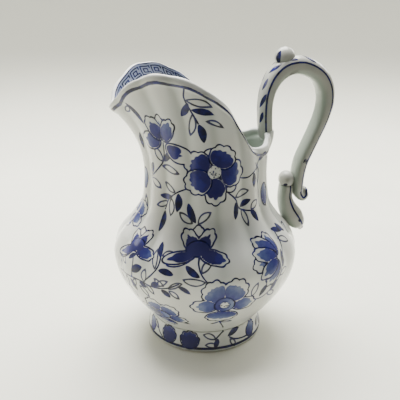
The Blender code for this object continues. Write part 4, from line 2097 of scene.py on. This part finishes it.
@dataclass
class Studio:
    """A pale table that curves up into a wall all round, soft lights and the camera."""

    shift: Array
    flat_radius: float = 330.0
    bend: float = 260.0
    wall_height: float = 700.0
    lens: float = 50.38
    sensor: float = 36.0
    aim: Triple = (-2.592, 0.552, 69.06)
    distance: float = 280.0
    azimuth: float = 12.02
    pitch: float = 19.27
    roll: float = 0.31
    world_colour: Triple = (1.0, 0.985, 0.95)
    # Strength of the room's light in front of and behind the jug, and between which directions it grows.
    world_front: float = 0.09
    world_back: float = 0.9
    world_turns: Pair = (-0.8, 0.6)
    # The wall sinks away towards the camera between these sines of the turn.
    wall_sinks: Pair = (-0.35, 0.25)
    # Name, place in millimetres about the pot's axis, side in millimetres and power in watts.
    lamps: tuple[tuple[str, Triple, float, float], ...] = (
        ("back_light", (0, 250, 640), 520, 20.0),
        ("left_light", (-470, 360, 240), 360, 2.0),
        ("right_light", (480, 340, 230), 360, 4.0),
    )

    def build(self) -> None:
        """Makes the ground, the lights, the world and the camera."""
        self.ground()
        for lamp in self.lamps:
            self.light(*lamp)
        self.world()
        self.camera()

    def ground(self) -> None:
        """The table: flat, then a quarter circle up to a wall all round, which sinks away in front."""
        angle = np.linspace(0, math.pi / 2, 40)
        flat = np.linspace(1.0, self.flat_radius, 12)[:-1]
        radius = np.concatenate([flat, self.flat_radius + self.bend * np.sin(angle)])
        height = np.concatenate([flat * 0, self.bend * (1 - np.cos(angle))])
        radius = np.append(radius, radius[-1])[:, None]
        height = np.append(height, self.wall_height)[:, None]
        turn = circle(160)
        x, y = radius * np.cos(turn), radius * np.sin(turn)
        rows = np.stack([x, y, height * soft_step(np.sin(turn), *self.wall_sinks)], axis=2)
        made = Grid(rows).sheet("table_ground", self.shift)
        made.data.materials.append(PaleTable().material())

    def light(self, name: str, place: Triple, size: float, power: float) -> None:
        """Adds a square soft light aimed at the jug's middle.

        Args:
            name: The light's name.
            place: Where it is, in millimetres about the pot's axis.
            size: Its side in millimetres.
            power: Its power in watts.
        """
        data = bpy.data.lights.new(name, "AREA")
        data.energy = power
        data.size = size * MM
        data.color = self.world_colour
        lamp = link(name, data)
        lamp.location = self.placed(place)
        lamp.rotation_euler = (self.placed(self.aim) - lamp.location).to_track_quat("-Z", "Y").to_euler()
        lamp.visible_camera = False

    def placed(self, place: Triple) -> Vector:
        """A place about the pot's axis, in metres on the frame."""
        return Vector((np.array(place) + self.shift) * MM)

    def world(self) -> None:
        """Soft light from all round, a little warm, and weaker from the camera's side of the room."""
        canvas = Canvas(bpy.data.worlds.new("soft_room"))
        facing = canvas.node("ShaderNodeTexCoord", {}, {}).outputs["Generated"]
        low, high = self.world_turns
        growth = {
            "Value": canvas.value("ShaderNodeSeparateXYZ", {}, {0: facing}, "Y"),
            "From Min": low,
            "From Max": high,
            "To Min": self.world_front,
            "To Max": self.world_back,
        }
        strength = canvas.value("ShaderNodeMapRange", {}, growth, "Result")
        light = {"Color": (*self.world_colour, 1.0), "Strength": strength}
        background = canvas.node("ShaderNodeBackground", {}, light)
        canvas.node("ShaderNodeOutputWorld", {}, {"Surface": background.outputs[0]})
        bpy.context.scene.world = canvas.owner

    def camera(self) -> None:
        """The camera: in front of the jug, a little towards the lip, looking slightly down."""
        data = bpy.data.cameras.new("camera")
        data.lens = self.lens
        data.sensor_width = self.sensor
        data.clip_start = 0.01
        data.clip_end = 10.0
        camera = link("camera", data)
        turned = Matrix.Rotation(math.radians(-self.azimuth), 4, "Z")
        tilted = Matrix.Rotation(math.radians(90 - self.pitch), 4, "X")
        rolled = Matrix.Rotation(math.radians(self.roll), 4, "Z")
        aim = Matrix.Translation(self.placed(self.aim))
        back = Matrix.Translation(Vector((0, 0, self.distance * MM)))
        camera.matrix_world = aim @ turned @ tilted @ back @ rolled
        bpy.context.scene.camera = camera


def assign(piece: bpy.types.Object, node: str) -> None:
    """Ties a piece to the CAD node that it stands for and reports it.

    Args:
        piece: The finished piece.
        node: The CAD node's name.
    """
    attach(piece, "root")
    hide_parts(node)
    log.info("%s stands for %s with %d faces", piece.name, node, len(piece.data.polygons))


def main() -> None:
    logging.basicConfig(level=logging.INFO)
    low, high = (np.array(corner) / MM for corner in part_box("foot_ring"))
    shift = np.array([(low[0] + high[0]) / 2, (low[1] + high[1]) / 2, low[2]])
    pieces = {
        "body": Body(shift).build(),
        "foot_ring": Foot(shift).build(),
        **Handle(shift).build(),
        "thumb_knob": Knob(shift).build(),
        "inner_bead": Bead(shift).build(),
    }
    for node, piece in pieces.items():
        assign(piece, node)
    Studio(shift).build()


if __name__ == "__main__":
    main()
